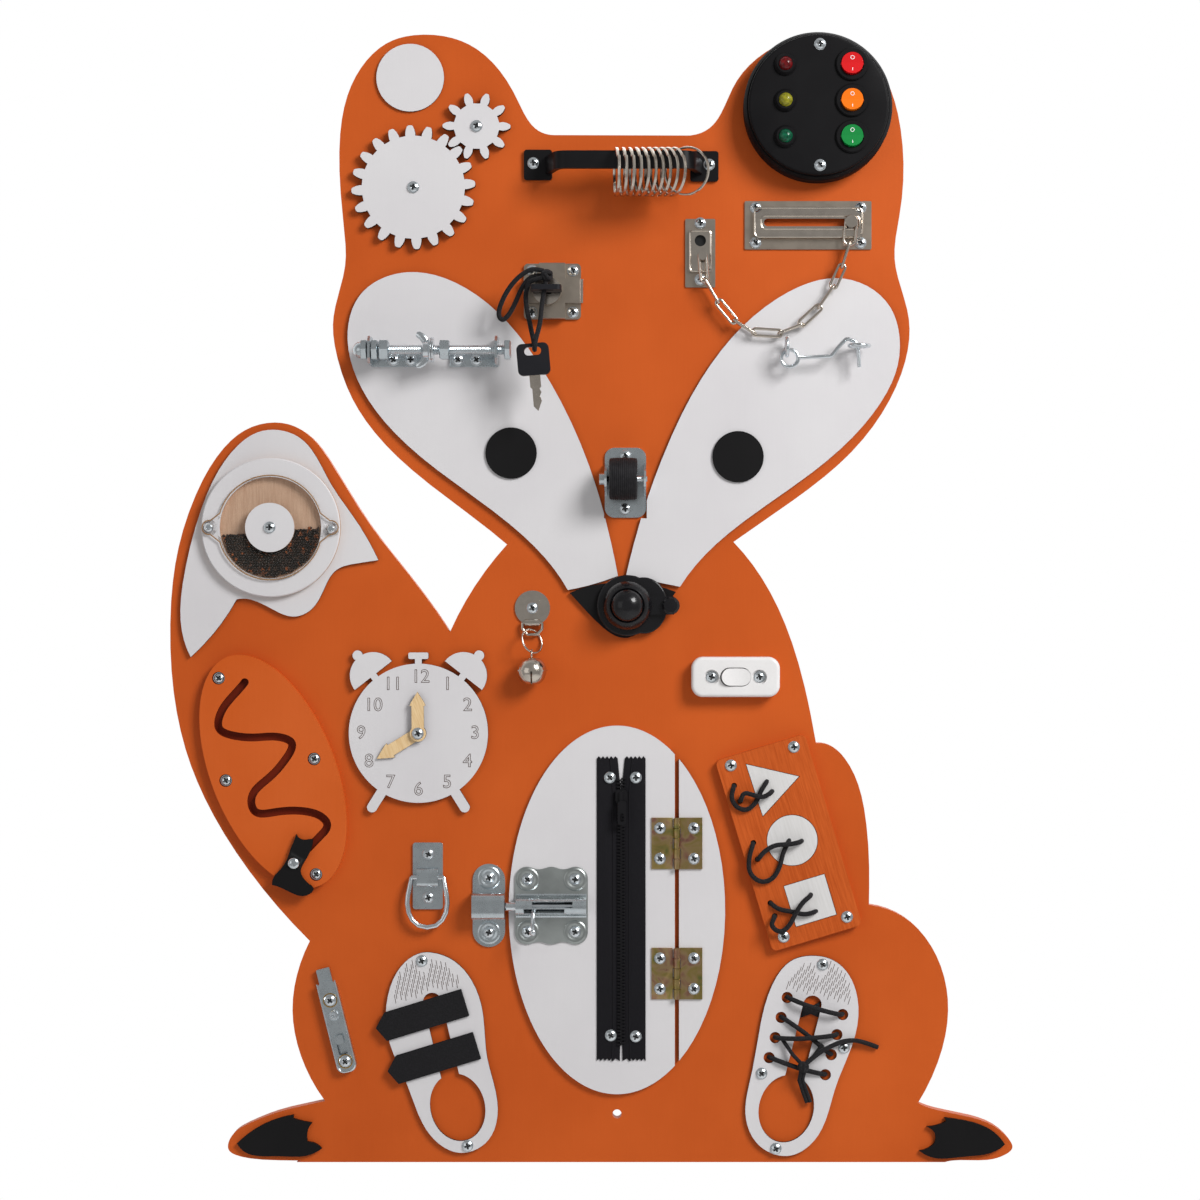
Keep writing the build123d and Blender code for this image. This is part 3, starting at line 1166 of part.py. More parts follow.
shape_top = board_top + shape_thick
shape_frame = Pos(*shape_centre) * Rot(0, 0, shape_tilt)
shape_screws = fasten([(80.7, 247.8), (125.3, 260.9), (162.9, 140.6), (118.1, 126.5)], shape_top)
triangle_corners = [(91.5, 248.6), (128.8, 240.0), (103.3, 212.0)]
circle_place = (124.1, 194.8)
square_place = (136.8, 152.3)
insert_shapes = {
    "triangle": make_face(Polyline(*triangle_corners, close=True)),
    "circle": Pos(*circle_place) * Circle(circle_radius),
    "square": Pos(*square_place) * Rot(0, 0, shape_tilt) * Rectangle(square_side, square_side),
}
lace_holes = {
    "triangle": [(83.0, 233.5), (87.2, 222.5)],
    "circle": [(96.6, 193.0), (99.6, 181.4)],
    "square": [(108.6, 150.4), (111.6, 141.2)],
}
shape_panel = prism(shape_frame * RectangleRounded(*shape_size, 4.0), board_top, shape_thick)
for name, shape in insert_shapes.items():
    opening = prism(offset(shape, shape_fit, kind=Kind.INTERSECTION), board_top, shape_thick)
    shape_panel -= opening
shape_panel = drilled(shape_panel, shape_screws, screw_shank_radius, board_top, shape_top)
shape_panel = drilled(shape_panel, [hole for pair in lace_holes.values() for hole in pair],
                      lace_radius + 0.6,
                      board_top, shape_top)
nodes["shape_panel"] = [shape_panel]
insert_low = board_top + moving_gap
insert_top = insert_low + insert_thick
insert_hole_floor = insert_low + 1.4
lace_lift = shape_top + lace_radius + 0.7
lace_routes = {
    "triangle": [
        [(80.6, 226.0), (83.6, 218.8), (91.6, 215.6), (98.6, 221.6), (101.8, 230.0), (106.2, 236.6)],
        [(89.4, 229.2), (96.0, 227.4), (103.0, 225.2), (110.0, 229.6)],
    ],
    "circle": [
        [(93.2, 182.6), (93.4, 171.6), (101.6, 164.8), (110.6, 167.6), (115.4, 176.4), (117.4, 186.4),
         (122.0, 194.8)],
        [(103.4, 187.0), (111.6, 192.2), (121.6, 192.2), (131.0, 194.4)],
    ],
    "square": [
        [(114.6, 146.0), (124.0, 144.6), (132.6, 142.2), (141.0, 144.6)],
        [(108.4, 135.0), (115.0, 129.8), (121.6, 134.2), (126.0, 143.4), (131.2, 151.8), (137.4, 156.4)],
    ],
}


def insert_lace(hole, route, lift):
    # up out of the panel's hole, over the panel and down to the insert
    points = [(hole[0], -board_top - 1.0, hole[1]), (hole[0], -lift, hole[1])]
    points += [(x, -lift, z) for x, z in route]
    points.append((route[-1][0], -insert_hole_floor, route[-1][1]))
    return free_cord("insert lace", points, lace_radius)


for name, shape in insert_shapes.items():
    tied = [route[-1] for route in lace_routes[name]]
    nodes[f"insert_{name}"] = [drilled(prism(shape, insert_low, insert_thick), tied,
                                       lace_radius + running_gap,
                                       insert_hole_floor, insert_top)]
    pair = [insert_lace(hole, route, lace_lift + level * (2 * lace_radius + 0.4))
            for level, (hole, route) in enumerate(zip(lace_holes[name], lace_routes[name]))]
    nodes[f"laces_{name}"] = [pair[0], pair[1] - pair[0]]

# ---- spinner ----

spin_low = panel_top + moving_gap
spin_top = spin_low + spinner_thick
spinner_x, spinner_z = spinner_centre
hub_top = spin_top + spinner_cover_thick
drum = turned(spinner_centre, [
    (gear_pivot_radius + running_gap, spin_low), (spinner_radius, spin_low),
    (spinner_radius, spin_top - 0.8),
    (spinner_radius - 0.8, spin_top), (spinner_window_radius - 0.6, spin_top),
    (spinner_window_radius - 0.6, spin_low + spinner_floor), (6.0, spin_low + spinner_floor),
    (6.0, spin_top), (gear_pivot_radius + running_gap, spin_top),
])
hub = post(spinner_centre, spinner_hub_radius, hub_top, 2.0) - post(
    spinner_centre, gear_pivot_radius + running_gap, hub_top, 2.0)
tab_places = [(spinner_x - spinner_tab[0], spinner_z), (spinner_x + spinner_tab[0], spinner_z - 1.0)]
window_face = Pos(*spinner_centre) * Circle(spinner_window_radius + 1.4)
for place in tab_places:
    window_face += Pos(*place) * Circle(spinner_tab[1] - 0.8)
window = prism(window_face, spin_top, spinner_cover_thick)
window = drilled(window, tab_places, screw_shank_radius, spin_top, hub_top)
window -= post(spinner_centre, gear_pivot_radius + running_gap, spin_top, spinner_cover_thick)
tab_screws = [screw(place, hub_top, spinner_cover_thick + 3.6, small_head_radius) for place in tab_places]
drum = drilled(drum, tab_places, screw_shank_radius, spin_top - 3.8, spin_top)
nodes["spinner_drum"] = [drum, hub, *tab_screws]
nodes["spinner_window"] = [window]
seed_low, seed_high = spin_low + spinner_floor + moving_gap, spin_top - moving_gap
seed_level = 2.0
seed_heap = Circle(spinner_window_radius - 1.2) - Circle(6.0 + moving_gap * 2)
seed_heap &= Pos(0, -50 - seed_level) * Rot(0, 0, 5) * Rectangle(120, 100)
nodes["spinner_seeds"] = [prism(Pos(*spinner_centre) * seed_heap, seed_low, seed_high - seed_low)]
spinner_screw = shoulder_screw(spinner_centre, panel_top, hub_top + 2.0, gear_pivot_radius)

# ---- belly door, hinges ----

door_low = board_top + moving_gap
door_top = door_low + panel_thick
leaf_low = panel_top + moving_gap
leaf_top = leaf_low + hinge_leaf_thick
hinge_axis = leaf_low + hinge_knuckle_radius
door_panel = prism(oval_part(-oval_axes[0] - 1, door_edge_x), door_low, panel_thick)
knuckle_count = 5
knuckle_gap = 0.3


def knuckle(level, index, gap=knuckle_gap):
    step = hinge_height / knuckle_count
    low = level - hinge_height / 2 + index * step
    return rod_z(hinge_axis_x, low + gap / 2, low + step - gap / 2, hinge_axis, hinge_knuckle_radius)


def hinge_leaf(level, side, barrels):
    # side is -1 for the leaf on the door and +1 for the fixed leaf
    inner = hinge_knuckle_radius * 0.2
    outer = hinge_leaf_reach
    centre = (hinge_axis_x + side * (inner + outer) / 2, level)
    leaf = slab(centre, (outer - inner, hinge_height), leaf_low, hinge_leaf_thick)
    others = [index for index in range(knuckle_count) if index not in barrels]
    step = hinge_height / knuckle_count
    for index in others:
        low = level - hinge_height / 2 + index * step
        leaf -= Pos(hinge_axis_x, -hinge_axis, low + step / 2) * Box(
            2 * hinge_knuckle_radius + 1.2, 4 * hinge_knuckle_radius, step + 0.02)
    for index in barrels:
        leaf += knuckle(level, index)
    places = [(hinge_axis_x + side * hinge_screw_offset[0], level + j * hinge_screw_offset[1])
              for j in (-1, 1)]
    leaf -= rod_z(hinge_axis_x, level - 30, level + 30, hinge_axis, hinge_pin_radius + running_gap)
    return drilled(leaf, places, screw_shank_radius + plate_hole_gap, leaf_low, leaf_top), places


door_leaves, fixed_leaves, hinge_pins = [], [], []
door_screws, strip_screws = [], []
for level in hinge_levels:
    leaf, places = hinge_leaf(level, -1, (1, 3))
    door_leaves.append(leaf)
    door_screws += [(place, leaf_top) for place in places]
    leaf, places = hinge_leaf(level, 1, (0, 2, 4))
    fixed_leaves.append(leaf)
    strip_screws += places
    hinge_pins.append(rod_z(hinge_axis_x, level - hinge_height / 2, level + hinge_height / 2, hinge_axis,
                            hinge_pin_radius))
fasten(strip_screws, leaf_top)
fixed_leaves = [leaf - pin for leaf, pin in zip(fixed_leaves, hinge_pins)]

# ---- zipper ----

tape_wide, tape_low_z, tape_high_z = zip_tape
tape_low = door_top
tape_top = tape_low + zip_tape_thick
tape_middle = (tape_low_z + tape_high_z) / 2
tape = slab((zip_x, tape_middle), (tape_wide, tape_high_z - tape_low_z), tape_low, zip_tape_thick)
tape = drilled(tape, zip_screws, screw_shank_radius + plate_hole_gap, tape_low, tape_top)
teeth_wide, teeth_low_z, teeth_high_z = zip_teeth
chain_row = slab((zip_x, (teeth_low_z + teeth_high_z) / 2), (teeth_wide, teeth_high_z - teeth_low_z),
                 tape_top, 1.2)
tooth_count = int((teeth_high_z - teeth_low_z) / zip_tooth_pitch)
notch = [slab((zip_x, teeth_low_z + (i + 0.5) * zip_tooth_pitch), (teeth_wide + 1, 0.9), tape_top + 0.7, 1.0)
         for i in range(tooth_count)]
nodes["zipper_tape"] = [tape, chain_row - notch]
slider_low = tape_top + 1.2 + 0.2
slider = slab((zip_x, zip_slider_z), zip_slider[:2], slider_low, zip_slider[2] - 2.2, 2.2)
slider += slab((zip_x, zip_slider_z), (2.2, 7.6), slider_low, zip_slider[2], 0.6)
side_gap = teeth_wide / 2 + 0.3
slider += [slab((zip_x + side * (side_gap + 0.6), zip_slider_z), (1.2, zip_slider[1] - 3), tape_top + 0.2,
                2.0)
           for side in (-1, 1)]
pull_low_z = zip_slider_z - 3.0 - zip_pull[1]
pull_tab = slab((zip_x + 0.6, (zip_slider_z - 3.0 + pull_low_z) / 2), zip_pull[:2],
                slider_low + zip_slider[2], zip_pull[2],
                2.2)
pull_tab -= prism(Pos(zip_x + 0.6, pull_low_z + 5.2) * SlotOverall(6.0, 2.6, rotation=90), slider_low, 20)
nodes["zipper_slider"] = [slider + pull_tab]
door_screws += [(place, tape_top) for place in zip_screws]

# ---- barrel bolt ----

plate_centre_x = (barrel_plate[0] + barrel_plate[1]) / 2
plate_wide = barrel_plate[1] - barrel_plate[0]
bolt_plate_low = door_top
barrel_rod_height = door_top + barrel_radius
bolt_plate_top = bolt_plate_low + barrel_plate_thick
lobe_step = plate_wide / 3
lobed = Pos(plate_centre_x, barrel_z) * Rectangle(plate_wide, barrel_plate_tall - 10)
for side in (-1, 1):
    for shift in (-1, 0, 1):
        reach = 7.0 if shift == 0 else 9.4
        lobed += Pos(plate_centre_x + shift * lobe_step,
                     barrel_z + side * (barrel_plate_tall / 2 - reach)) * Circle(reach)
bolt_plate = prism(lobed, bolt_plate_low, barrel_plate_thick)
housing = rod_x(barrel_plate[0] + 1, barrel_plate[1] - 1, barrel_z, barrel_rod_height, barrel_radius)
housing += slab((plate_centre_x, barrel_z), (plate_wide - 2, 2 * barrel_radius), bolt_plate_low,
                barrel_rod_height - bolt_plate_low)
rod_bore = rod_x(barrel_plate[0] - 20, barrel_plate[1] + 20, barrel_z, barrel_rod_height,
                 barrel_rod_radius + running_gap)
slot_middle = (barrel_slot[0] + barrel_slot[1]) / 2
slot_long = barrel_slot[1] - barrel_slot[0]
slot_cut = slab((slot_middle, barrel_z), (slot_long, 2 * bolt_pin_radius + 1.0), barrel_rod_height, 20.0,
                1.0)
bolt_plate_screws = [(plate_centre_x + i * 16.8, barrel_z + j * 18.6) for i in (-1, 1) for j in (-1, 1)]
bolt_housing = bolt_plate + housing - rod_bore - slot_cut
bolt_housing = drilled(bolt_housing, bolt_plate_screws, screw_shank_radius + plate_hole_gap, bolt_plate_low,
                       bolt_plate_top)
door_screws += [(place, bolt_plate_top) for place in bolt_plate_screws]
bolt_rod = rod_x(*barrel_rod_span, barrel_z, barrel_rod_height, barrel_rod_radius)
pin_front = barrel_rod_height + barrel_radius + 4.0
handle_points = [
    (barrel_pin_x, -barrel_rod_height, barrel_z), (barrel_pin_x, -pin_front, barrel_z - 0.6),
    (barrel_pin_x, -pin_front - 0.6, barrel_z - 9.0), (barrel_pin_x, -pin_front + 0.4, barrel_z - 18.5),
]
handle_pin = cord(handle_points, bolt_pin_radius, 3.0)
nodes["bolt_rod"] = [bolt_rod + handle_pin]
keeper_x, keeper_z = keeper_centre
keeper_shape = SlotOverall(keeper_size[1], keeper_size[0], rotation=90)
keeper_plate = prism(Pos(*keeper_centre) * keeper_shape, board_top, barrel_plate_thick)
hoop_top = barrel_rod_height + barrel_rod_radius + 2.2
hoop_wide = keeper_size[0]
hoop = slab((keeper_x, barrel_z), (hoop_wide, keeper_hoop_tall), board_top, hoop_top - board_top)
hoop_edges = hoop.edges().filter_by(Axis.X).filter_by(lambda edge: edge.center().Y < -hoop_top + 0.01)
hoop = fillet(hoop_edges, 6.0)
hoop -= rod_x(keeper_x - 20, keeper_x + 20, barrel_z, barrel_rod_height, barrel_rod_radius + 0.6)
keeper_screws_out = fasten([(keeper_x, keeper_z + 19.6), (keeper_x, keeper_z - 19.2)],
                           board_top + barrel_plate_thick)
bolt_keeper = drilled(keeper_plate + hoop, keeper_screws_out, screw_shank_radius + plate_hole_gap, board_top,
                      board_top + barrel_plate_thick)

# ---- ring plate with its bail ----

ring_screws = fasten([(-133.8, 184.6), (-133.8, 153.8)], board_top + ring_plate_thick)
ring_plate = slab(ring_plate_centre, ring_plate_size, board_top, ring_plate_thick, 2.0)
bail_axis_z = 168.3
bail_axis_height = board_top + ring_plate_thick + bail_wire + 0.2
ring_x = ring_plate_centre[0]
strap = slab((ring_x, bail_axis_z), (15.0, ring_strap_tall), board_top + ring_plate_thick,
             2 * bail_wire + 1.6)
strap_edges = strap.edges().filter_by(Axis.X).filter_by(
    lambda edge: edge.center().Y < -(board_top + ring_plate_thick + 2))
strap = fillet(strap_edges, 3.4)
strap -= rod_x(ring_x - 10, ring_x + 10, bail_axis_z, bail_axis_height, bail_wire + running_gap)
ring_plate = drilled(ring_plate + strap, ring_screws, screw_shank_radius + plate_hole_gap, board_top,
                     board_top + ring_plate_thick)
bail_half, bail_drop = bail_size[0] / 2, bail_size[1]
bail_front = -board_top - ring_plate_thick - bail_wire - 2.4
bail_arm = [
    (bail_axis_half, -bail_axis_height, 0.0),
    (bail_half - 1.4, bail_front, 0.2 * bail_drop),
    (bail_half, bail_front, 0.45 * bail_drop),
    (bail_half - 1.0, bail_front, 0.68 * bail_drop),
    (bail_half - 5.1, bail_front, 0.895 * bail_drop),
]
bail_line = [(ring_x - out, forward, bail_axis_z - down) for out, forward, down in bail_arm]
bail_line += [(ring_x, bail_front, bail_axis_z - bail_drop)]
bail_line += [(ring_x + out, forward, bail_axis_z - down) for out, forward, down in reversed(bail_arm)]
bail = cord(bail_line, bail_wire, bend_radii(bail_line))
bail += rod_x(ring_x - bail_axis_half, ring_x + bail_axis_half, bail_axis_z, bail_axis_height, bail_wire)
nodes["ring_bail"] = [bail]

# ---- slide latch ----

latch_axis = Vector(sin(radians(latch_tilt)), -cos(radians(latch_tilt)))


def along_latch(distance):
    return (latch_top[0] + latch_axis.X * distance, latch_top[1] + latch_axis.Y * distance)


latch_top_height = board_top + latch_thick
latch_screws = fasten([along_latch(latch_screw_steps[0]), along_latch(latch_screw_steps[1])],
                      latch_top_height)
latch_case = slab(along_latch(latch_length / 2), (latch_wide, latch_length), board_top, latch_thick,
                  latch_corner, latch_tilt)
tunnel_long = latch_tunnel + 2
tunnel = slab(along_latch(tunnel_long / 2 - 2), (latch_tongue[0] + 2 * running_gap + 0.2, tunnel_long),
              board_top + latch_wall,
              latch_thick - 2 * latch_wall, 0, latch_tilt)
window_cut = slab(along_latch(latch_thumb + latch_travel / 2), (6.4, latch_travel + 7.0),
                  board_top + latch_wall,
                  latch_thick, 1.0, latch_tilt)
latch_body = drilled(latch_case - tunnel - window_cut, latch_screws, screw_shank_radius, board_top,
                     latch_top_height)
tongue_low = board_top + latch_wall + 0.15
tongue_thick = latch_thick - 2 * latch_wall - 0.3
tongue_long = latch_tongue[1] + latch_thumb + 4.0
tongue = slab(along_latch(tongue_long / 2 - latch_tongue[1]), (latch_tongue[0], tongue_long), tongue_low,
              tongue_thick, 0.8, latch_tilt)
tongue += slab(along_latch(latch_thumb), (5.6, 6.0), tongue_low, tongue_thick + 4.2, 1.0, latch_tilt)
tongue_slot_wide = 2 * (screw_shank_radius + plate_hole_gap)
tongue -= slab(along_latch(latch_screw_steps[0] - latch_travel / 2),
               (tongue_slot_wide, latch_travel + tongue_slot_wide),
               tongue_low, tongue_thick + 5, 0, latch_tilt)
nodes["latch_tongue"] = [tongue]

nodes["board_fittings"] = [*jingle_fitting, ring_plate, bolt_keeper, latch_body, *fixed_leaves, *hinge_pins]

# ---- straps and lace of the shoes ----


def shoe_strap(end):
    # from its fixed right end to its pointed free end
    long, wide = strap_size
    face = make_face(Polyline((0, -wide / 2), (0, wide / 2), (-long + 9, wide / 2), (-long, 1.0),
                              (-long + 5, -wide / 2),
                              close=True))
    return prism(Pos(*end) * Rot(0, 0, strap_tilt) * face, panel_top + moving_gap, strap_thick)


nodes["strap_upper"] = [shoe_strap(strap_ends[0])]
nodes["strap_lower"] = [shoe_strap(strap_ends[1])]

lace_height = panel_top + lace_radius + 0.3
lace_high = lace_height + 2 * lace_radius + 0.6


def lace_run(start, end, level, bow=0.0):
    # in through one eyelet, across and out through the other
    middle = ((start[0] + end[0]) / 2, (start[1] + end[1]) / 2 + bow)
    points = [(start[0], -board_top - 0.6, start[1]), (start[0] + 0.8, -level, start[1] + 0.2),
              (middle[0], -level - 0.8, middle[1]), (end[0] - 0.8, -level, end[1] + 0.2),
              (end[0], -board_top - 0.6, end[1])]
    return free_cord("shoe lace", points, lace_radius)


lace_runs = [
    lace_run(laces_left[0], laces_right[0], lace_high, -1.0),
    lace_run(laces_left[1], laces_right[2], lace_height, 2.0),
    lace_run(laces_left[2], laces_right[1], lace_high, -1.0),
    lace_run(laces_left[3], laces_right[3], lace_height, -1.0),
]
bow_knot = Pos(131.7, -lace_high - 1.6, 35.0) * Sphere(4.2)
tail_right = [
    (133.0, -lace_high - 2.4, 37.0), (140.8, -lace_high - 2.2, 44.0), (150.6, -lace_high - 1.8, 49.6),
    (162.0, -lace_height - 1.0, 53.4), (174.0, -lace_height + 1.0, 52.4), (185.0, -lace_height + 2.6, 47.6),
]
tail_down = [(132.6, -lace_high - 2.0, 33.0), (131.4, -lace_height - 1.6, 25.4),
             (134.0, -lace_height + 0.4, 17.2),
             (137.0, -lace_height + 1.2, 9.2)]
lace_tails = [free_cord("lace tail", points, lace_radius) - bow_knot for points in (tail_right, tail_down)]
nodes["laces"] = [*lace_runs, bow_knot, *lace_tails]

# ---- what the board carries and what the door carries ----

door_holes = [place for place, seat in door_screws]
nodes["door_panel"] = [drilled(door_panel, door_holes, screw_shank_radius, door_low, door_top)]
nodes["door_fittings"] = [*door_leaves, bolt_housing] + [
    screw(place, seat, seat - door_low - 0.2) for place, seat in door_screws]

shank_places = [place for place, seat in root_screws]
shank_places += [gear_large_centre, gear_small_centre, clock_centre, spinner_centre, hook_post, hook_catch]
bores = [post(place, screw_shank_radius, screw_tip_height - 0.4, board_top - screw_tip_height + 0.4)
         for place in shank_places]
nodes["base_board"] = [base_board - bores]
nodes["white_panels"] = [drilled(panel, shank_places, screw_shank_radius, board_top, panel_top)
                         for panel in white_panels]
nodes["black_panels"] = black_panels
nodes["board_screws"] = [screw(place, seat, seat - screw_tip_height) for place, seat in root_screws]
nodes["board_screws"] += pivot_screws + [clock_screw, spinner_screw] + screw_eyes

for name, pieces in nodes.items():
    solids = [solid for piece in pieces for solid in piece.solids()]
    export_step(Compound(solids), f"parts/{name}.step")
print(len(nodes), "nodes")
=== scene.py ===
import math
import random

import bmesh
import bpy
from mathutils import Matrix, Vector


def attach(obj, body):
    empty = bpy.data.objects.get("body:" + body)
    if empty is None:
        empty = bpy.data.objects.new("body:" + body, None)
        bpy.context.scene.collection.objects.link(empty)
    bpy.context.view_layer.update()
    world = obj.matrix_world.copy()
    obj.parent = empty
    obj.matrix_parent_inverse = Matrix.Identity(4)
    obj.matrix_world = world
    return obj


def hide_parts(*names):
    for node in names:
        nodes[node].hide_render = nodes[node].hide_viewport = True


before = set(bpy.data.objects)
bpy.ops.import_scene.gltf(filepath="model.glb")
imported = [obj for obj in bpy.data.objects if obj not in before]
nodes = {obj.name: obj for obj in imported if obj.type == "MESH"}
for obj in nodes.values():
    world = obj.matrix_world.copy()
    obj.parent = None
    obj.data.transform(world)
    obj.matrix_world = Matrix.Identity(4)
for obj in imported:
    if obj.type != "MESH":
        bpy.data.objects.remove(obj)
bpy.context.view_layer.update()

# lengths below are millimetres on the board: x to the right, z up, and height forwards from its back


def place(x, z, height=0.0):
    return Vector((x, -height, z))


def colour(code):
    # a hex colour as the linear values that sockets take
    parts = [int(code[i:i + 2], 16) / 255 for i in (0, 2, 4)]
    return tuple(c / 12.92 if c <= 0.04045 else ((c + 0.055) / 1.055) ** 2.4 for c in parts) + (1.0,)


# the tools that finishes are made with
class Wire:
    # a socket in a sum; each operator adds its Math node
    def __init__(self, finish, socket):
        self.finish = finish
        self.socket = socket

    def __add__(self, other):
        return self.finish.maths("ADD", self, other)

    def __sub__(self, other):
        return self.finish.maths("SUBTRACT", self, other)

    def __rsub__(self, other):
        return self.finish.maths("SUBTRACT", other, self)

    def __mul__(self, other):
        return self.finish.maths("MULTIPLY", self, other)

    __radd__ = __add__
    __rmul__ = __mul__


class Finish:
    def __init__(self, name, settings, tree=None):
        self.tree = tree
        if tree:  # a world's own nodes
            return
        self.material = bpy.data.materials.new(name)
        self.material.use_nodes = True
        self.tree = self.material.node_tree
        self.shader = self.tree.nodes["Principled BSDF"]
        for socket, value in settings.items():
            self.shader.inputs[socket].default_value = value

    def add(self, kind, settings=None, inputs=None, out=0):
        node = self.tree.nodes.new(kind)
        for name, value in (settings or {}).items():
            if name == "stops":
                ramp = node.color_ramp
                while len(ramp.elements) < len(value):
                    ramp.elements.new(1.0)
                for element, (position, shade) in zip(ramp.elements, value):
                    element.position, element.color = position, shade
            else:
                setattr(node, name, value)
        for name, value in (inputs or {}).items():
            if isinstance(value, Wire):
                self.tree.links.new(value.socket, node.inputs[name])
            else:
                node.inputs[name].default_value = value
        return Wire(self, node.outputs[out])

    def maths(self, operation, *values):
        return self.add("ShaderNodeMath", {"operation": operation}, dict(enumerate(values)))

    def mix(self, first, second, factor):
        return self.add("ShaderNodeMix", {"data_type": "RGBA"}, {0: factor, 6: first, 7: second}, 2)

    def part(self, vector, index=0):
        # one of the three values of a vector
        return self.add("ShaderNodeSeparateXYZ", {}, {0: vector}, index)

    def where(self, stretch=(1, 1, 1), turn=0.0):
        # object coordinates, turned in the plane of the board and then stretched
        spot = self.add("ShaderNodeTexCoord", out=3)
        if turn:
            spot = self.add("ShaderNodeVectorRotate", {"rotation_type": "Y_AXIS"},
                            {"Vector": spot, "Angle": math.radians(turn)})
        if stretch != (1, 1, 1):
            spot = self.add("ShaderNodeVectorMath", {"operation": "MULTIPLY"}, {0: spot, 1: stretch})
        return spot

    def noise(self, scale, detail=2.0, rough=0.5, stretch=(1, 1, 1), turn=0.0, warp=0.0):
        return self.add("ShaderNodeTexNoise", {}, {"Vector": self.where(stretch, turn), "Scale": scale,
                        "Detail": detail, "Roughness": rough, "Distortion": warp})

    def cells(self, scale, stretch=(1, 1, 1), out=0):
        return self.add("ShaderNodeTexVoronoi", {}, {"Vector": self.where(stretch), "Scale": scale}, out)

    def ramp(self, factor, stops):
        return self.add("ShaderNodeValToRGB", {"stops": stops}, {0: factor})

    def put(self, socket, value):
        self.tree.links.new(value.socket, self.shader.inputs[socket])

    def bump(self, height, strength, distance):
        self.put("Normal", self.add("ShaderNodeBump", {}, {"Height": height, "Strength": strength,
                                                          "Distance": distance / 1000}))


black, white = (0, 0, 0, 1), (1, 1, 1, 1)
paintLook = {
    "orange": ("BC5018", "CB5B20"), "white": ("D0CDCF", "D8D6D7"), "black": ("0D0C0D", "151415"),
    "groove": ("611804", "7E2608"), "maze": ("C65619", "D2632A"),
    "roller": 700.0, "stipple": 0.10, "grain": 0.12,
}


def makePaint(name, shades, rough):
    # roller-painted plywood: slow colour drift, fine stipple, and the grain just telling through
    paint = Finish(name, {"Roughness": rough, "Specular IOR Level": 0.16})
    drift = paint.noise(9.0, 3.0, 0.55)
    fibre = paint.noise(90.0, 4.0, 0.6, stretch=(9.0, 1.0, 0.35))
    stipple = paint.noise(paintLook["roller"], 2.0, 0.6)
    tone = drift * 0.88 + fibre * paintLook["grain"]
    low, high = paintLook[shades]
    paint.put("Base Color", paint.ramp(tone, [(0.30, colour(low)), (0.70, colour(high))]))
    paint.put("Roughness", rough - 0.06 + stipple * 0.12)
    paint.bump(stipple * 0.7 + fibre * 0.5, paintLook["stipple"], 0.15)
    return paint.material


def makeMetal(name, shade, rough, streak=(1, 1, 1), scratch=0.05):
    # plated steel: faint clouding, fine drawn scratches and a little wear in the gloss
    metal = Finish(name, {"Metallic": 1.0, "Roughness": rough})
    cloud = metal.noise(120.0, 3.0, 0.6)
    fine = metal.noise(900.0, 2.0, 0.6, stretch=streak)
    base = colour(shade)
    darker = tuple(c * 0.9 for c in base[:3]) + (1.0,)
    clear = metal.ramp(cloud, [(0.3, black), (0.6, white)])
    metal.put("Base Color", metal.mix(darker, base, clear))
    metal.put("Roughness", rough - 0.05 + cloud * 0.07 + fine * 0.07)
    metal.bump(fine, scratch * 4, 0.02)
    return metal.material


def makePlastic(name, shade, rough, depth=0.05, coat=0.0, glow=0.0, gloss=0.3):
    plastic = Finish(name, {"Roughness": rough, "Specular IOR Level": gloss, "Coat Weight": coat,
                            "Coat Roughness": 0.06})
    fine = plastic.noise(500.0, 3.0, 0.6)
    cloud = plastic.noise(40.0, 2.0)
    base = colour(shade)
    lighter = tuple(min(c * 1.12 + 0.004, 1) for c in base[:3]) + (1.0,)
    tone = plastic.mix(base, lighter, cloud)
    plastic.put("Base Color", tone)
    plastic.put("Roughness", rough - 0.05 + fine * 0.10)
    plastic.bump(fine, depth * 3, 0.05)
    # glow adds emission in the part's own colour, a painted glow on a part that is no lamp
    if glow:
        plastic.put("Emission Color", tone)
        plastic.shader.inputs["Emission Strength"].default_value = glow
    return plastic.material


def makeLace():
    # braided cord: small knobs, a little longer along it
    lace = Finish("lace", {"Roughness": 0.82, "Specular IOR Level": 0.12, "Sheen Weight": 0.06})
    knit = lace.cells(1500.0, stretch=(1.0, 1.0, 0.7))
    fuzz = lace.noise(2600.0, 2.0)
    lace.put("Base Color", lace.mix(colour("0C0C0D"), colour("2A292B"), knit * 1.3))
    lace.bump(knit + fuzz * 0.3, 0.8, 0.25)
    return lace.material


def makeTape():
    # twill tape: fine ribs across and along
    tape = Finish("zipTape", {"Roughness": 0.78, "Specular IOR Level": 0.1, "Sheen Weight": 0.04})
    spot = tape.where()
    weft = tape.maths("SINE", tape.part(spot, 2) * 9000.0)
    warp = tape.maths("SINE", tape.part(spot) * 7000.0)
    weave = weft * warp
    fuzz = tape.noise(1800.0, 2.0)
    tape.put("Base Color", tape.mix(colour("111013"), colour("232226"), fuzz * 0.7 + weave * 0.25))
    tape.bump(weave * 0.5 + fuzz * 0.3, 0.5, 0.12)
    return tape.material


def makeStrap():
    # embossed black strap: small pebble cells
    strap = Finish("strapGrain", {"Roughness": 0.5, "Specular IOR Level": 0.22})
    pebble = strap.cells(900.0)
    crease = strap.noise(260.0, 3.0)
    strap.put("Base Color", strap.mix(colour("0C0B0D"), colour("1C1B1E"), pebble))
    strap.put("Roughness", 0.42 + pebble * 0.25)
    strap.bump(pebble + crease * 0.5, 0.7, 0.30)
    return strap.material


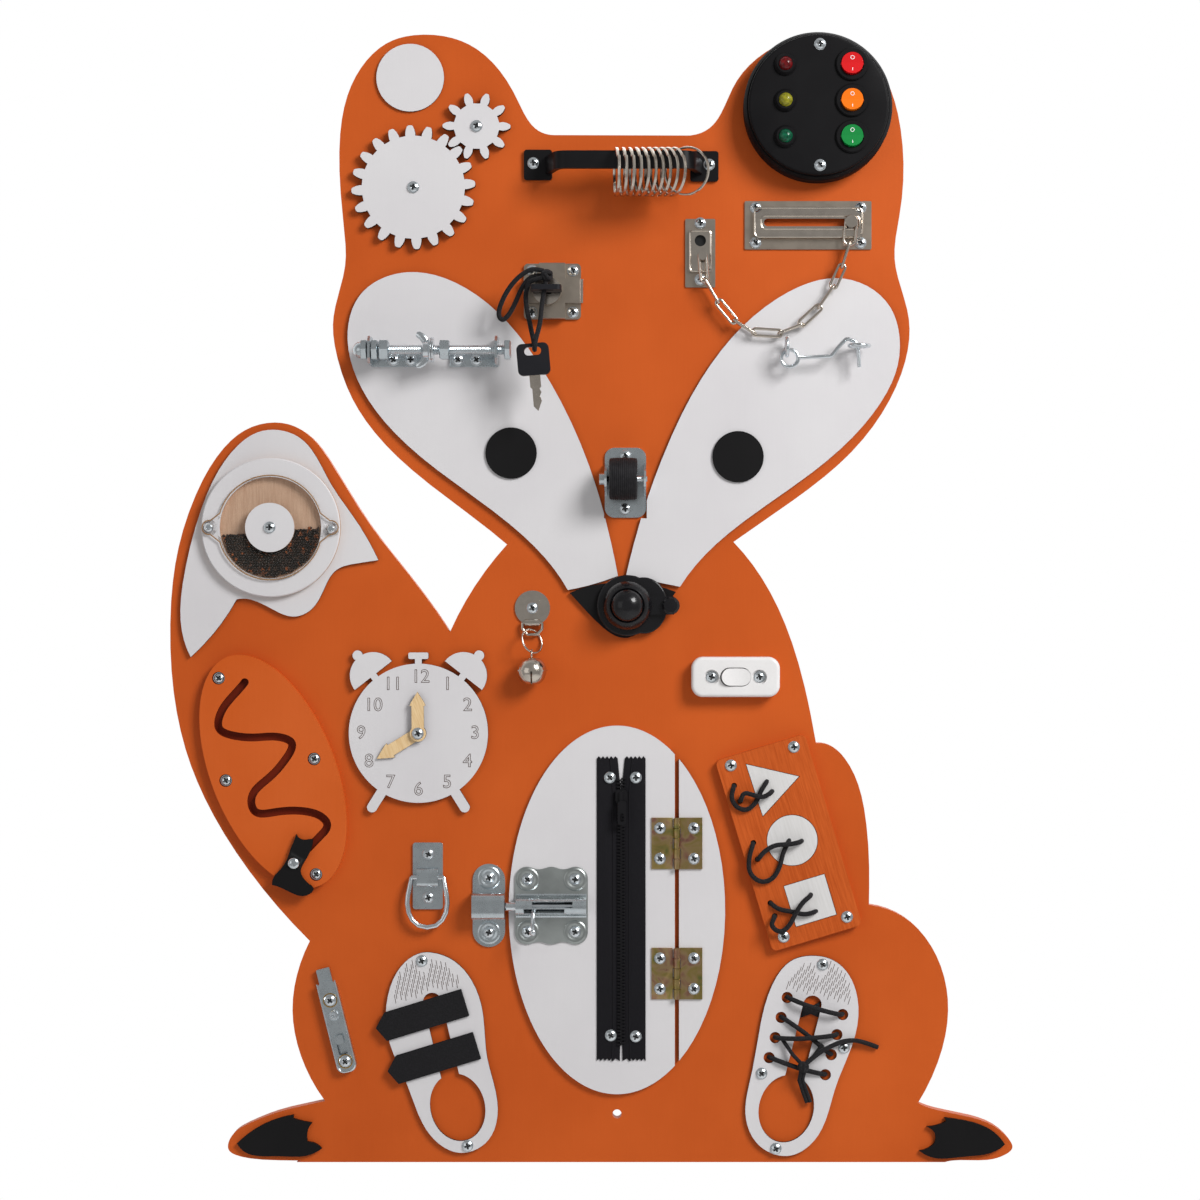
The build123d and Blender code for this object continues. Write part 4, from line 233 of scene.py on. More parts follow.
def makeRubber():
    rubber = Finish("wheelRubber", {"Roughness": 0.6, "Specular IOR Level": 0.2})
    dust = rubber.noise(220.0, 4.0, 0.7)
    fine = rubber.noise(1500.0, 2.0)
    rubber.put("Base Color", rubber.mix(colour("171618"), colour("363437"), dust * dust))
    rubber.put("Roughness", 0.5 + dust * 0.25)
    rubber.bump(fine + dust * 0.5, 0.4, 0.10)
    return rubber.material


def makeChromate():
    # yellow passivated steel: gold drifting to green and pink
    plate = Finish("yellowChromate", {"Metallic": 1.0, "Roughness": 0.3})
    patch = plate.noise(70.0, 2.0, 0.5, warp=1.2)
    fine = plate.noise(900.0, 2.0, stretch=(1, 1, 0.2))
    shades = [(0.25, "737F4A"), (0.42, "A89358"), (0.55, "B79A72"), (0.68, "A06E62"), (0.82, "808A58")]
    plate.put("Base Color", plate.ramp(patch, [(stop, colour(shade)) for stop, shade in shades]))
    plate.put("Roughness", 0.24 + fine * 0.14)
    plate.bump(fine, 0.2, 0.02)
    return plate.material


def makeBareWood(name, pale, dark, turn=0.0, rough=0.62):
    wood = Finish(name, {"Roughness": rough, "Specular IOR Level": 0.2})
    grain = wood.noise(160.0, 4.0, 0.6, stretch=(6.0, 1.0, 0.5), turn=turn)
    pore = wood.noise(900.0, 2.0, 0.7, stretch=(4.0, 1.0, 0.3), turn=turn)
    tone = grain * 0.75 + pore * 0.25
    wood.put("Base Color", wood.ramp(tone, [(0.30, colour(dark)), (0.65, colour(pale))]))
    wood.bump(pore + grain, 0.25, 0.10)
    return wood.material


def makeGrained(name, low, high, turn, depth):
    # painted coarse-grained wood whose ribs run along the panel
    wood = Finish(name, {"Roughness": 0.5, "Specular IOR Level": 0.16})
    rib = wood.noise(760.0, 3.0, 0.6, stretch=(1.0, 1.0, 0.06), turn=turn)
    broad = wood.noise(30.0, 2.0, stretch=(1.0, 1.0, 0.3), turn=turn)
    wood.put("Base Color", wood.ramp(rib * 0.7 + broad * 0.3, [(0.33, colour(low)), (0.62, colour(high))]))
    wood.put("Roughness", 0.42 + rib * 0.2)
    wood.bump(rib, depth, 0.35)
    return wood.material


def makeSeeds():
    # dark seeds, with a red-brown one here and there
    seeds = Finish("seeds", {"Roughness": 0.4, "Specular IOR Level": 0.2})
    tint = seeds.part(seeds.cells(420.0, out=1))
    shades = [(0.0, "100C0B"), (0.5, "1C1513"), (0.86, "38241B"), (0.97, "8A4A22")]
    seeds.put("Base Color", seeds.ramp(tint, [(stop, colour(shade)) for stop, shade in shades]))
    seeds.bump(seeds.noise(2500.0, 2.0), 0.4, 0.1)
    return seeds.material


def makeClear():
    clear = Finish("clearWindow", {"Roughness": 0.03, "Alpha": 0.03, "Coat Weight": 0.1,
                                   "Coat Roughness": 0.02})
    smear = clear.noise(25.0, 3.0)
    clear.put("Base Color", clear.mix(colour("8C8880"), colour("A8A49C"), smear))
    clear.put("Alpha", 0.01 + smear * 0.03)
    return clear.material


def makeLens(name, dark, bright):
    # a moulded lens with small facets; each facet's colour runs from dark in its middle to bright at its rim,
    # a painted shading, and the same cells shape its bumps
    lens = Finish(name, {"Roughness": 0.2, "Coat Weight": 0.25, "Coat Roughness": 0.03,
                         "Specular IOR Level": 0.2})
    facet = lens.cells(500.0)
    lens.put("Base Color", lens.mix(colour(dark), colour(bright), facet * 0.9))
    lens.bump(facet, 0.3, 0.2)
    return lens.material


orangePaint = makePaint("orangePaint", "orange", 0.46)
whitePaint = makePaint("whitePaint", "white", 0.48)
blackPaint = makePaint("blackPaint", "black", 0.55)
burntEdge = makeBareWood("burntEdge", "5A3522", "2C180F", rough=0.8)
# the maze's groove is painted darker: a painted shade for the depth of the slot
grooveShadePaint = makePaint("grooveShadePaint", "groove", 0.6)
mazePaint = makePaint("mazePaint", "maze", 0.4)
bareWood = makeBareWood("bareWood", "E9CDA0", "D2AC78", turn=20)
drumWood = makeBareWood("drumWood", "C9A88E", "B69278")
rimWood = makeBareWood("rimWood", "A8835C", "86623E")
zincPlate = makeMetal("zincPlate", "C8D0D4", 0.26)
zincBright = makeMetal("zincBright", "DCE2E6", 0.2)
# recess is dark grey metal: painted shade in the screws' cross recesses and in the chain keeper's hole
recess = makeMetal("recess", "3A3A3A", 0.4)
greySteel = makeMetal("greySteel", "A9AEAC", 0.34, streak=(1, 1, 0.1))
nickel = makeMetal("nickel", "D2C8BC", 0.16)
satinNickel = makeMetal("satinNickel", "B8AC9E", 0.28, streak=(0.1, 1, 1), scratch=0.06)
brass = makeMetal("brass", "BE9A58", 0.26)
chromate = makeChromate()
lightBoxPlastic = makePlastic("lightBoxPlastic", "0C0B0D", 0.5, gloss=0.1)
handlePaint = makePlastic("handlePaint", "0D0C0E", 0.38, gloss=0.16)
bellGloss = makePlastic("bellGloss", "0E0D10", 0.28, depth=0.01, coat=0.3, gloss=0.2)
keyPlastic = makePlastic("keyPlastic", "1B1B1F", 0.44, gloss=0.14)
zipBlack = makePlastic("zipBlack", "0F0E11", 0.36, coat=0.1, gloss=0.2)
whitePlastic = makePlastic("whitePlastic", "DFDDDC", 0.28, depth=0.01, coat=0.15, gloss=0.2)
markWhite = makePlastic("markWhite", "F2F2F2", 0.4)
engraved = makeBareWood("engraved", "5A463B", "3A2A22", rough=0.8)
rubberTread = makeRubber()
laceBlack = makeLace()
zipTape = makeTape()
strapGrain = makeStrap()
clearWindow = makeClear()
seedFinish = makeSeeds()
panelTurn = 16.8  # how far the shape panel leans, in degrees
panelGrain = makeGrained("panelGrain", "B04A14", "C95C22", panelTurn, 0.35)
insertGrain = makeGrained("insertGrain", "D0CECC", "DAD8D7", panelTurn, 0.2)
lensFinish = [makeLens("lensRed", "2E0506", "7C1418"), makeLens("lensYellow", "5D5A12", "A5A02C"),
              makeLens("lensGreen", "04261A", "0E6A48")]
# the rockers carry a faint painted glow
rockerFinish = {
    shade: makePlastic(name, code, 0.22, depth=0.01, coat=0.35, glow=0.04)
    for shade, name, code in (("red", "rockerRed", "C40C12"), ("amber", "rockerAmber", "E86E02"),
                              ("green", "rockerGreen", "077A36"))
}
print("finishes made")


# the tools that pieces are made with
class Pile:
    # points and faces in millimetres, gathered until they become one piece
    def __init__(self):
        self.points, self.faces, self.marks = [], [], []

    def add(self, points, faces, mark=0):
        # mark is a place in the piece's list of finishes, for all faces or one for each
        first = len(self.points)
        self.points += [Vector(point) for point in points]
        self.faces += [tuple(first + i for i in face) for face in faces]
        self.marks += mark if isinstance(mark, list) else [mark] * len(faces)

    def make(self, name, body, finishes, replaces=(), slot=None, sharp=35.0):
        mesh = bpy.data.meshes.new(name)
        mesh.from_pydata([point / 1000 for point in self.points], [], self.faces)
        for finish in finishes:
            mesh.materials.append(finish)
        mesh.polygons.foreach_set("material_index", self.marks)
        work = bmesh.new()
        work.from_mesh(mesh)
        bmesh.ops.recalc_face_normals(work, faces=work.faces)
        work.to_mesh(mesh)
        work.free()
        mesh.polygons.foreach_set("use_smooth", [True] * len(mesh.polygons))
        mesh.set_sharp_from_angle(angle=math.radians(sharp))
        piece = bpy.data.objects.new(name, mesh)
        bpy.context.scene.collection.objects.link(piece)
        return settle(piece, body, replaces)


def settle(piece, body, replaces=()):
    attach(piece, body)
    if replaces:
        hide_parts(*replaces)
    return piece


forward, xAxis, zAxis = Vector((0, -1, 0)), Vector((1, 0, 0)), Vector((0, 0, 1))


def radial(radius, degrees):
    angle = math.radians(degrees)
    return radius * math.cos(angle), radius * math.sin(angle)


def across(axis):
    # two directions square to an axis
    first = axis.cross(zAxis if abs(axis.z) < 0.9 else xAxis).normalized()
    return first, axis.cross(first).normalized()


def lathe(pile, profile, base, axis=forward, sides=40, mark=0):
    # profile holds (radius, distance along the axis) from base
    axis = axis.normalized()
    first, second = across(axis)
    points, rings = [], []
    for radius, reach in profile:
        centre = base + axis * reach
        if radius < 1e-6:
            rings.append([len(points)] * sides)
            points.append(centre)
            continue
        rings.append(list(range(len(points), len(points) + sides)))
        for i in range(sides):
            turn = 2 * math.pi * i / sides
            points.append(centre + first * radius * math.cos(turn) + second * radius * math.sin(turn))
    faces = []
    for low, high in zip(rings, rings[1:]):
        for i in range(sides):
            j = (i + 1) % sides
            corners = [low[i], low[j], high[j], high[i]]
            unique = [c for n, c in enumerate(corners) if c not in corners[:n]]
            if len(unique) > 2:
                faces.append(unique)
    pile.add(points, faces, mark)


def sweep(pile, path, radius, sides=10, closed=False, mark=0, flat=1.0):
    # a round bar along a path of points; radius is a number or a list
    path = [Vector(point) for point in path]
    count = len(path)
    radii = radius if isinstance(radius, (list, tuple)) else [radius] * count
    points, rings, side = [], [], None
    for i, point in enumerate(path):
        before = path[i - 1] if i or closed else path[i]
        after = path[(i + 1) % count] if i < count - 1 or closed else path[i]
        along = (after - before).normalized()
        if side is None:
            side = across(along)[0]
        side = (side - along * side.dot(along)).normalized()
        other = along.cross(side)
        rings.append(list(range(len(points), len(points) + sides)))
        for k in range(sides):
            turn = 2 * math.pi * k / sides
            points.append(point + (side * math.cos(turn) + other * math.sin(turn) * flat) * radii[i])
    faces = []
    pairs = list(zip(rings, rings[1:]))
    if closed:
        # the last ring is turned to meet the first
        shift = min(range(sides), key=lambda s: (points[rings[-1][s]] - points[rings[0][0]]).length)
        pairs.append((rings[-1][shift:] + rings[-1][:shift], rings[0]))
    else:
        faces += [tuple(rings[0]), tuple(reversed(rings[-1]))]
    for low, high in pairs:
        for k in range(sides):
            j = (k + 1) % sides
            faces.append((low[k], low[j], high[j], high[k]))
    pile.add(points, faces, mark)


def inset(outline, amount):
    # an outline moved inwards by a small amount; corners are mitred
    count = len(outline)
    area = sum(outline[i - 1][0] * outline[i][1] - outline[i][0] * outline[i - 1][1] for i in range(count))
    sign = 1 if area > 0 else -1
    moved = []
    for i in range(count):
        a, b, c = (Vector(outline[i - 1]), Vector(outline[i]), Vector(outline[(i + 1) % count]))
        u, v = (b - a).normalized(), (c - b).normalized()
        n, m = Vector((-u.y, u.x)) * sign, Vector((-v.y, v.x)) * sign
        bisector = (n + m).normalized() if (n + m).length > 1e-6 else n
        moved.append(tuple(b + bisector * amount / max(bisector.dot(n), 0.5)))
    return moved


def plate(pile, outline, low, high, edge=0.3):
    # a flat plate with eased front edges
    levels = [(outline, low), (outline, high - edge), (inset(outline, edge * 0.35), high - edge * 0.3),
              (inset(outline, edge), high)]
    count = len(outline)
    points = [place(x, z, height) for line, height in levels for x, z in line]
    top = len(points) - count
    faces = [tuple(range(count))[::-1], tuple(range(top, top + count))]
    for foot in range(0, top, count):
        for i in range(count):
            j = (i + 1) % count
            faces.append((foot + i, foot + j, foot + count + j, foot + count + i))
    pile.add(points, faces)


def easedBlock(pile, centre, size, edge):
    # a small block with every edge cut off
    half = Vector(size) / 2
    work = bmesh.new()
    for signs in [(x, y, z) for x in (-1, 1) for y in (-1, 1) for z in (-1, 1)]:
        for face in range(3):
            work.verts.new([sign * (reach - (0 if axis == face else edge))
                            for axis, (sign, reach) in enumerate(zip(signs, half))])
    bmesh.ops.convex_hull(work, input=work.verts)
    work.verts.index_update()
    faces = [[vert.index for vert in face.verts] for face in work.faces]
    pile.add([centre + vert.co for vert in work.verts], faces)
    work.free()


def arc(centre, radius, start, end, steps):
    turns = [math.radians(start + (end - start) * i / steps) for i in range(steps + 1)]
    return [(centre[0] + radius * math.cos(turn), centre[1] + radius * math.sin(turn)) for turn in turns]


def roundedBox(centre, size, corner, steps=6):
    half = (size[0] / 2 - corner, size[1] / 2 - corner)
    line = []
    for quarter, (sx, sz) in enumerate(((1, 1), (-1, 1), (-1, -1), (1, -1))):
        line += arc((sx * half[0], sz * half[1]), corner, quarter * 90, quarter * 90 + 90, steps)
    return [(centre[0] + x, centre[1] + z) for x, z in line]


screwLook = {"head": 4.2, "rim": 0.55, "dome": 3.3, "rise": 2.4, "flatten": 0.42, "slotWide": 0.62,
             "slotReach": 2.1, "slotDeep": 1.3, "recess": (0.35, 0.75, 1.2, 1.65), "neck": 1.5, "sides": 32}


def screw(pile, x, z, seat, turn, shank):
    # pan head with a washer rim; its cross recess has the second finish, dark grey metal painted in as shade
    rim, dome, rise, outer = [screwLook[key] for key in ("rim", "dome", "rise", "head")]
    half, reach, deep = [screwLook[key] for key in ("slotWide", "slotReach", "slotDeep")]
    points = [place(x, z, seat + rise - deep)]
    for radius in (*screwLook["recess"], reach, reach * 1.05, dome * 0.8, dome * 0.93, dome):
        edge = math.degrees(math.asin(min(half / radius, 0.62)))
        angles = (0, edge * 0.9, edge * 1.08, 33, 45, 57, 90 - edge * 1.08, 90 - edge * 0.9)
        for quarter in range(4):
            for index, angle in enumerate(angles):
                height = rise * (1 - screwLook["flatten"] * (radius / dome) ** 2.6)
                if radius <= reach and index in (0, 1, 7):  # an arm of the cross
                    height = rise - deep * (1 - 0.55 * radius / reach)
                if radius < half * 1.3:
                    height = rise - deep * 0.92
                side, up = radial(radius, turn + quarter * 90 + angle)
                points.append(place(x + side, z + up, seat + height))
    sides, neck = screwLook["sides"], screwLook["neck"]
    for radius, height in ((dome * 1.03, rim + 0.25), (dome * 1.06, rim + 0.05), (outer * 0.95, rim),
                           (outer, rim * 0.6), (outer, 0), (neck, 0), (neck, -shank)):
        for i in range(sides):
            side, up = radial(radius, turn + i * 360 / sides)
            points.append(place(x + side, z + up, seat + height))
    count = (len(points) - 1) // sides
    faces = [(0, 1 + i, 1 + (i + 1) % sides) for i in range(sides)]
    marks = [1] * sides
    for ring in range(count - 1):
        for i in range(sides):
            j = (i + 1) % sides
            a, b = 1 + ring * sides, 1 + (ring + 1) * sides
            faces.append((a + i, b + i, b + j, a + j))
            marks.append(int(ring < 4 and (i + 2) % 8 < 4))
    faces.append(tuple(range(1 + (count - 1) * sides, 1 + count * sides)))
    pile.add(points, faces, marks + [0])


dressLook = {"edge": 0.35, "angle": 38.0, "weld": 0.02, "segments": 2}


def dress(name, finishes, choose=None, edge=dressLook["edge"]):
    # finishes on a CAD node, its sharp edges eased; choose gives each face its finish
    piece = nodes[name]
    mesh = piece.data
    mesh.materials.clear()
    for finish in finishes:
        mesh.materials.append(finish)
    if "custom_normal" in mesh.attributes:
        mesh.attributes.remove(mesh.attributes["custom_normal"])
    mesh.polygons.foreach_set("use_smooth", [True] * len(mesh.polygons))
    marks = [0] * len(mesh.polygons)
    if choose:
        for polygon in mesh.polygons:
            centre, normal = polygon.center * 1000, polygon.normal
            marks[polygon.index] = choose(centre.x, centre.z, -centre.y, normal)
    mesh.polygons.foreach_set("material_index", marks)
    piece.modifiers.new("weld", "WELD").merge_threshold = dressLook["weld"] / 1000
    if edge:
        bevel = piece.modifiers.new("ease", "BEVEL")
        bevel.width = edge / 1000
        bevel.segments = dressLook["segments"]
        bevel.limit_method = "ANGLE"
        bevel.angle_limit = math.radians(dressLook["angle"])
        bevel.harden_normals = True
        bevel.use_clamp_overlap = True
    else:
        piece.modifiers.new("split", "EDGE_SPLIT").split_angle = math.radians(dressLook["angle"])


def facesFront(normal):
    return normal.y < -0.5


def frontOrEdge(x, z, height, normal):
    # the first finish on faces that look forwards, the second on cut edges
    return 0 if facesFront(normal) else 1


# the board, its panels and other painted wood
doorLook = {"front": 13.3, "plateFront": 14.5, "stile": 38.0}
mazeLook = {"centre": (-243.5, 243.5), "axes": (43.7, 87.3), "tilt": 22.0, "margin": 2.0, "front": 15.8}


def doorMark(x, z, height, normal):
    # the edge is burnt only at the hinges
    return 0 if x < doorLook["stile"] else frontOrEdge(x, z, height, normal)


def mazeMark(x, z, height, normal):
    # the groove gets a painted shade, darker than the panel's front and its rim
    dx, dz = x - mazeLook["centre"][0], z - mazeLook["centre"][1]
    c, s = radial(1.0, mazeLook["tilt"])
    u, v = dx * c + dz * s, -dx * s + dz * c
    wide, tall = [half - mazeLook["margin"] for half in mazeLook["axes"]]
    return int(height < mazeLook["front"] and (u / wide) ** 2 + (v / tall) ** 2 < 1)


dress("base_board", [orangePaint], edge=0.8)
dress("black_panels", [blackPaint], edge=0)
dress("shape_panel", [panelGrain], edge=0.5)
dress("maze_panel", [mazePaint, grooveShadePaint], mazeMark, 0.5)
dress("door_panel", [whitePaint, burntEdge], doorMark, 0)
for name, paint, edge in (("white_panels", whitePaint, 0), ("gear_large", whitePaint, 0.25),
                          ("gear_small", whitePaint, 0.25), ("clock_face", whitePaint, 0.25),
                          ("hour_hand", bareWood, 0.2), ("minute_hand", bareWood, 0.2),
                          ("insert_triangle", insertGrain, 0.25), ("insert_circle", insertGrain, 0.25),
                          ("insert_square", insertGrain, 0.25)):
    dress(name, [paint, burntEdge], frontOrEdge, edge)
print("painted wood dressed")

# screws: what they hold, how high their heads sit, and their spots
boardScrewLook = {
    "shoes": (13, [(-138.4, 109.1), (-105.9, -22.0), (145.8, 106.5), (160.9, 47.6), (102.5, 29.3),
                   (112.6, -24.0)]),
    "pull": (12.5, [(-59.4, 674.7), (65.4, 673.7)]),
    "lightBox": (30, [(142.9, 755.5), (142.9, 670.5)]),
    "chain": (11.2, [(59.1, 632.3), (59.1, 592.3), (98.3, 618.3), (172.9, 618.3), (98.3, 643.3),
                     (172.9, 643.3)]),
    "longBolt": (14.8, [(-158.3, 535.0), (-146.0, 535.0), (-112.6, 535.0), (-99.5, 535.0)]),
    "lock": (12, [(-60.4, 568.9), (-31.2, 568.9), (-60.4, 598.5), (-31.2, 598.5)]),
    "caster": (11.6, [(6.0, 467.0), (5.7, 429.5)]),
    "washerClip": (12.6, [(-60.0, 359.2)]),
    "lineSwitch": (18, [(67.0, 310.5), (100.8, 310.5)]),
    "mazePanel": (13.6, [(-282.0, 309.6), (-214.4, 252.4), (-276.9, 237.1), (-213.0, 170.6)]),
    "shapePanel": (16, [(80.7, 247.8), (125.3, 260.9), (162.9, 140.6), (118.1, 126.5)]),
    "hinges": (14.5, [(54.5, 203.3), (54.5, 181.7), (54.5, 111.1), (54.5, 89.5)]),
    "keeper": (11.2, [(-90.9, 167.8), (-90.9, 129.0)]),
    "ringPlate": (11.6, [(-133.8, 184.6), (-133.8, 153.8)]),
    "latch": (15, [(-203.1, 81.4), (-192.3, 38.2)]),
    "gears": (15.6, [(-144.2, 657.2), (-99.42, 700.44)]),
    "clock": (18.5, [(-140.7, 270.5)]),
    "spinner": (22.4, [(-244.9, 416.1)]),
}
doorScrewLook = {
    "hinges": (14.5, [(30.5, 203.3), (30.5, 181.7), (30.5, 111.1), (30.5, 89.5)]),
    "zipper": (14.1, [(-5.0, 239.1), (13.4, 239.1), (-4.3, 56.4), (13.3, 55.7)]),
    "boltPlate": (14.5, [(-63.3, 167.0), (-29.7, 167.0), (-63.3, 129.8), (-29.7, 129.8)]),
}
screwFoot = {"board": 2.0, "door": 2.0}  # height where a board screw ends, and depth of a door screw
random.seed(7)
boardScrews = Pile()
for seat, spots in boardScrewLook.values():
    for x, z in spots:
        screw(boardScrews, x, z, seat, random.uniform(0, 90), seat - screwFoot["board"])


def ringPath(centre, radius, first, second, steps=48):
    turns = [2 * math.pi * i / steps for i in range(steps)]
    return [centre + first * radius * math.cos(turn) + second * radius * math.sin(turn) for turn in turns]


eyeLook = {"eyes": [((120.0, 543.5), 6.5, forward, zAxis), ((170.9, 544.2), 7.0, xAxis, forward)],
           "wire": 1.4, "height": 24.0, "stem": (2.0, 12.0), "overlap": 0.4}
for spot, radius, first, second in eyeLook["eyes"]:
    ring = ringPath(place(*spot, eyeLook["height"]), radius, first, second)
    sweep(boardScrews, ring, eyeLook["wire"], 12, True)
    stem = (*eyeLook["stem"], eyeLook["height"] - radius + eyeLook["overlap"])
    sweep(boardScrews, [place(*spot, height) for height in stem], eyeLook["wire"], 12)
boardScrews.make("boardScrews", "board", [zincBright, recess], ["board_screws"])
print("screws made")

# the light box
lampBoxLook = {"lensesFrom": 27.0, "levels": (728.0, 703.0)}
rockerLook = {"x": 165.4, "z": {"red": 741.4, "amber": 716.0, "green": 690.6}, "height": 30.5, "apart": 4.2,
              "ring": (1.25, 2.43, 0.22), "bar": (2.2, 3.5, 0.24), "slope": (0, 0.245, 0.97)}


def lampMark(x, z, height, normal):
    # red, yellow and green from the top; behind the lenses all is black
    if height < lampBoxLook["lensesFrom"]:
        return 3
    return sum(z <= level for level in lampBoxLook["levels"])


dress("light_box_base", [lightBoxPlastic], edge=0)
dress("light_box_cover", [lightBoxPlastic], edge=0)
dress("lamp_circuit", [*lensFinish, lightBoxPlastic], lampMark, 0)
for shade, z in rockerLook["z"].items():
    dress("rocker_" + shade, [rockerFinish[shade]], edge=0.5)
    marks = Pile()
    radius, rise, line = rockerLook["ring"]
    top = place(rockerLook["x"], z + rockerLook["apart"], rockerLook["height"] + rise)
    sweep(marks, ringPath(top, radius, xAxis, zAxis, 28), line, 8, True)
    long, rise, line = rockerLook["bar"]
    foot = place(rockerLook["x"], z - rockerLook["apart"], rockerLook["height"] + rise)
    half = Vector(rockerLook["slope"]) * long / 2
    sweep(marks, [foot - half, foot + half], line, 8)
    marks.make("rockerMarks-" + shade, shade + "_rocker", [markWhite], slot="rocker_" + shade)
print("light box dressed")

# fittings of one finish, with how far their edges are eased
fittingLook = {
    "chain_stud": (nickel, 0.3), "chain_left": (nickel, 0), "chain_right": (nickel, 0),
    "gate_hook": (zincBright, 0), "nut_washer": (zincBright, 0.2), "lock_bolt": (nickel, 0.3),
    "caster_bracket": (zincPlate, 0.25), "line_switch_body": (whitePlastic, 0.3),
    "line_switch_rocker": (whitePlastic, 0.3), "pull_handle": (handlePaint, 0.6),
    "latch_tongue": (zincPlate, 0.3), "bicycle_bell": (bellGloss, 0.3), "bell_lever": (bellGloss, 0.4),
    "jingle_bell": (nickel, 0.15), "spinner_window": (clearWindow, 0.2), "zipper_slider": (zipBlack, 0.25),
    "strap_upper": (strapGrain, 0.5), "strap_lower": (strapGrain, 0.5),
}
for name, (finish, edge) in fittingLook.items():
    dress(name, [finish], edge=edge)

# fittings of several finishes, and where each begins
chainLook = {"keeper": (59.1, 619.6), "hole": 4.2, "holeFloor": 13.4, "raised": 12.6}
lockLook = {"cylinder": 24.3, "bow": 27.9, "spareBow": 521.9}
groupLook = {"hinges": 20.0, "clip": (-80.0, 330.0)}
catLook = {"screw": (-228.3, 178.9), "radius": 4.4, "front": 19.31}
spinnerLook = {"centre": (-244.9, 416.1), "screws": ((-43.2, 0.0), (43.2, -1.0)), "head": 3.6,
               "headFrom": 19.5, "ring": 36.5, "hub": 17.6, "hubFrom": 20.0}


def chainMark(x, z, height, normal):
    # the plates are satin, their raised parts bright, and the keeper's hole is painted dark as shade
    if height < chainLook["holeFloor"] and math.dist((x, z), chainLook["keeper"]) < chainLook["hole"]:
        return 2
    return int(height > chainLook["raised"])


def fittingMark(x, z, height, normal):
    # zinc, apart from the yellow hinge leaves and the nickel washer clip
    if x > groupLook["hinges"]:
        return 1
    return 2 if x > groupLook["clip"][0] and z > groupLook["clip"][1] else 0


def drumMark(x, z, height, normal):
    spot = (x - spinnerLook["centre"][0], z - spinnerLook["centre"][1])
    far = math.hypot(*spot)
    if height > spinnerLook["headFrom"] and min(
            math.dist(spot, middle) for middle in spinnerLook["screws"]) < spinnerLook["head"]:
        return 2
    hub = far < spinnerLook["hub"] and height > spinnerLook["hubFrom"]
    return 0 if facesFront(normal) and (far > spinnerLook["ring"] or hub) else 1


def catMark(x, z, height, normal):
    return int(height > catLook["front"] and math.dist((x, z), catLook["screw"]) < catLook["radius"])


dress("chain_plates", [satinNickel, nickel, recess], chainMark, 0.4)
dress("board_fittings", [zincPlate, chromate, nickel], fittingMark, 0.25)
dress("spinner_drum", [whitePaint, drumWood, zincBright], drumMark, 0.3)
dress("cat_slider", [blackPaint, zincBright], catMark, 0.3)
dress("lock_case", [satinNickel, nickel], lambda x, z, h, n: int(h > lockLook["cylinder"]), 0.3)
dress("lock_key", [keyPlastic, nickel], lambda x, z, h, n: int(h <= lockLook["bow"]), 0.4)
dress("spare_key", [keyPlastic, nickel], lambda x, z, h, n: int(z <= lockLook["spareBow"]))
print("fittings dressed")

# the belly door: hinge leaves, barrel bolt and its screws
hingeLook = {"axis": 42.5, "height": 15.6, "levels": (192.5, 100.3), "tall": 36.4, "reach": 18.0,
             "knuckle": 2.3, "pin": 1.25, "gap": 0.15, "ease": 0.2, "neck": 0.6, "clear": 0.7, "play": 0.1}
hingeLeaves = Pile()
axis, knuckle, step = hingeLook["axis"], hingeLook["knuckle"], hingeLook["tall"] / 5
barrel = [(hingeLook["pin"], hingeLook["gap"]), (knuckle - hingeLook["ease"], hingeLook["gap"]),
          (knuckle, hingeLook["gap"] + hingeLook["ease"])]
barrel += [(radius, step - rise) for radius, rise in reversed(barrel)]
for middle in hingeLook["levels"]:
    foot = middle - hingeLook["tall"] / 2
    line = [(axis - hingeLook["reach"], foot + hingeLook["tall"]), (axis - hingeLook["reach"], foot)]
    for index in range(5):
        low, ours = foot + index * step, index in (1, 3)  # the other knuckles are the fixed leaf's
        reach = hingeLook["neck"] if ours else knuckle + hingeLook["clear"]
        line += [(axis - reach, low + hingeLook["play"]), (axis - reach, low + step - hingeLook["play"])]
        if ours:
            lathe(hingeLeaves, barrel, place(axis, low, hingeLook["height"]), zAxis, 28)
    plate(hingeLeaves, line, doorLook["front"], doorLook["plateFront"], 0.15)
hingeLeaves.make("doorHingeLeaves", "door", [chromate], ["door_fittings"])
fitted = Pile()
for seat, spots in doorScrewLook.values():
    for x, z in spots:
        screw(fitted, x, z, seat, random.uniform(0, 90), screwFoot["door"])
fitted.make("doorScrews", "door", [zincBright, recess], ["door_fittings"])

boltLook = {
    "z": 148.4, "height": 19.9, "middle": -46.5, "wide": 51.8, "tall": 27.5, "lobe": 8.6, "dip": 0.9,
    "hump": 6.3, "ends": (-71.4, -21.6), "wall": 0.9,
    "foot": [(8.6, 14.4), (7.3, 15.0), (6.5, 16.6)],
    "turns": [0, 13, 26, 39, 51.8, 65, 79, 93.6, 101.0, 113, 125, 136.9, 145, 156, 168, 180],
    "slots": [(-59.6, -31.2, 51.8, 93.6), (-65.6, -36.9, 101.0, 136.9)],  # left, right, first and last turn
    "rod": [(0, -79.0), (2.5, -79.0), (3.2, -78.2), (3.2, -24.5), (2.8, -24.0), (0, -24.0)],
    "handle": [(-58.3, 147.0, 19.9), (-58.4, 145.9, 23.0), (-58.6, 145.3, 26.5), (-58.7, 144.0, 29.2),
               (-58.8, 140.5, 30.6), (-58.9, 136.0, 30.4), (-59.0, 131.8, 29.8)],
    "handleWire": [1.5] * 6 + [1.3], "ball": 2.5, "ballAt": (-59.0, 131.4, 29.8),
}


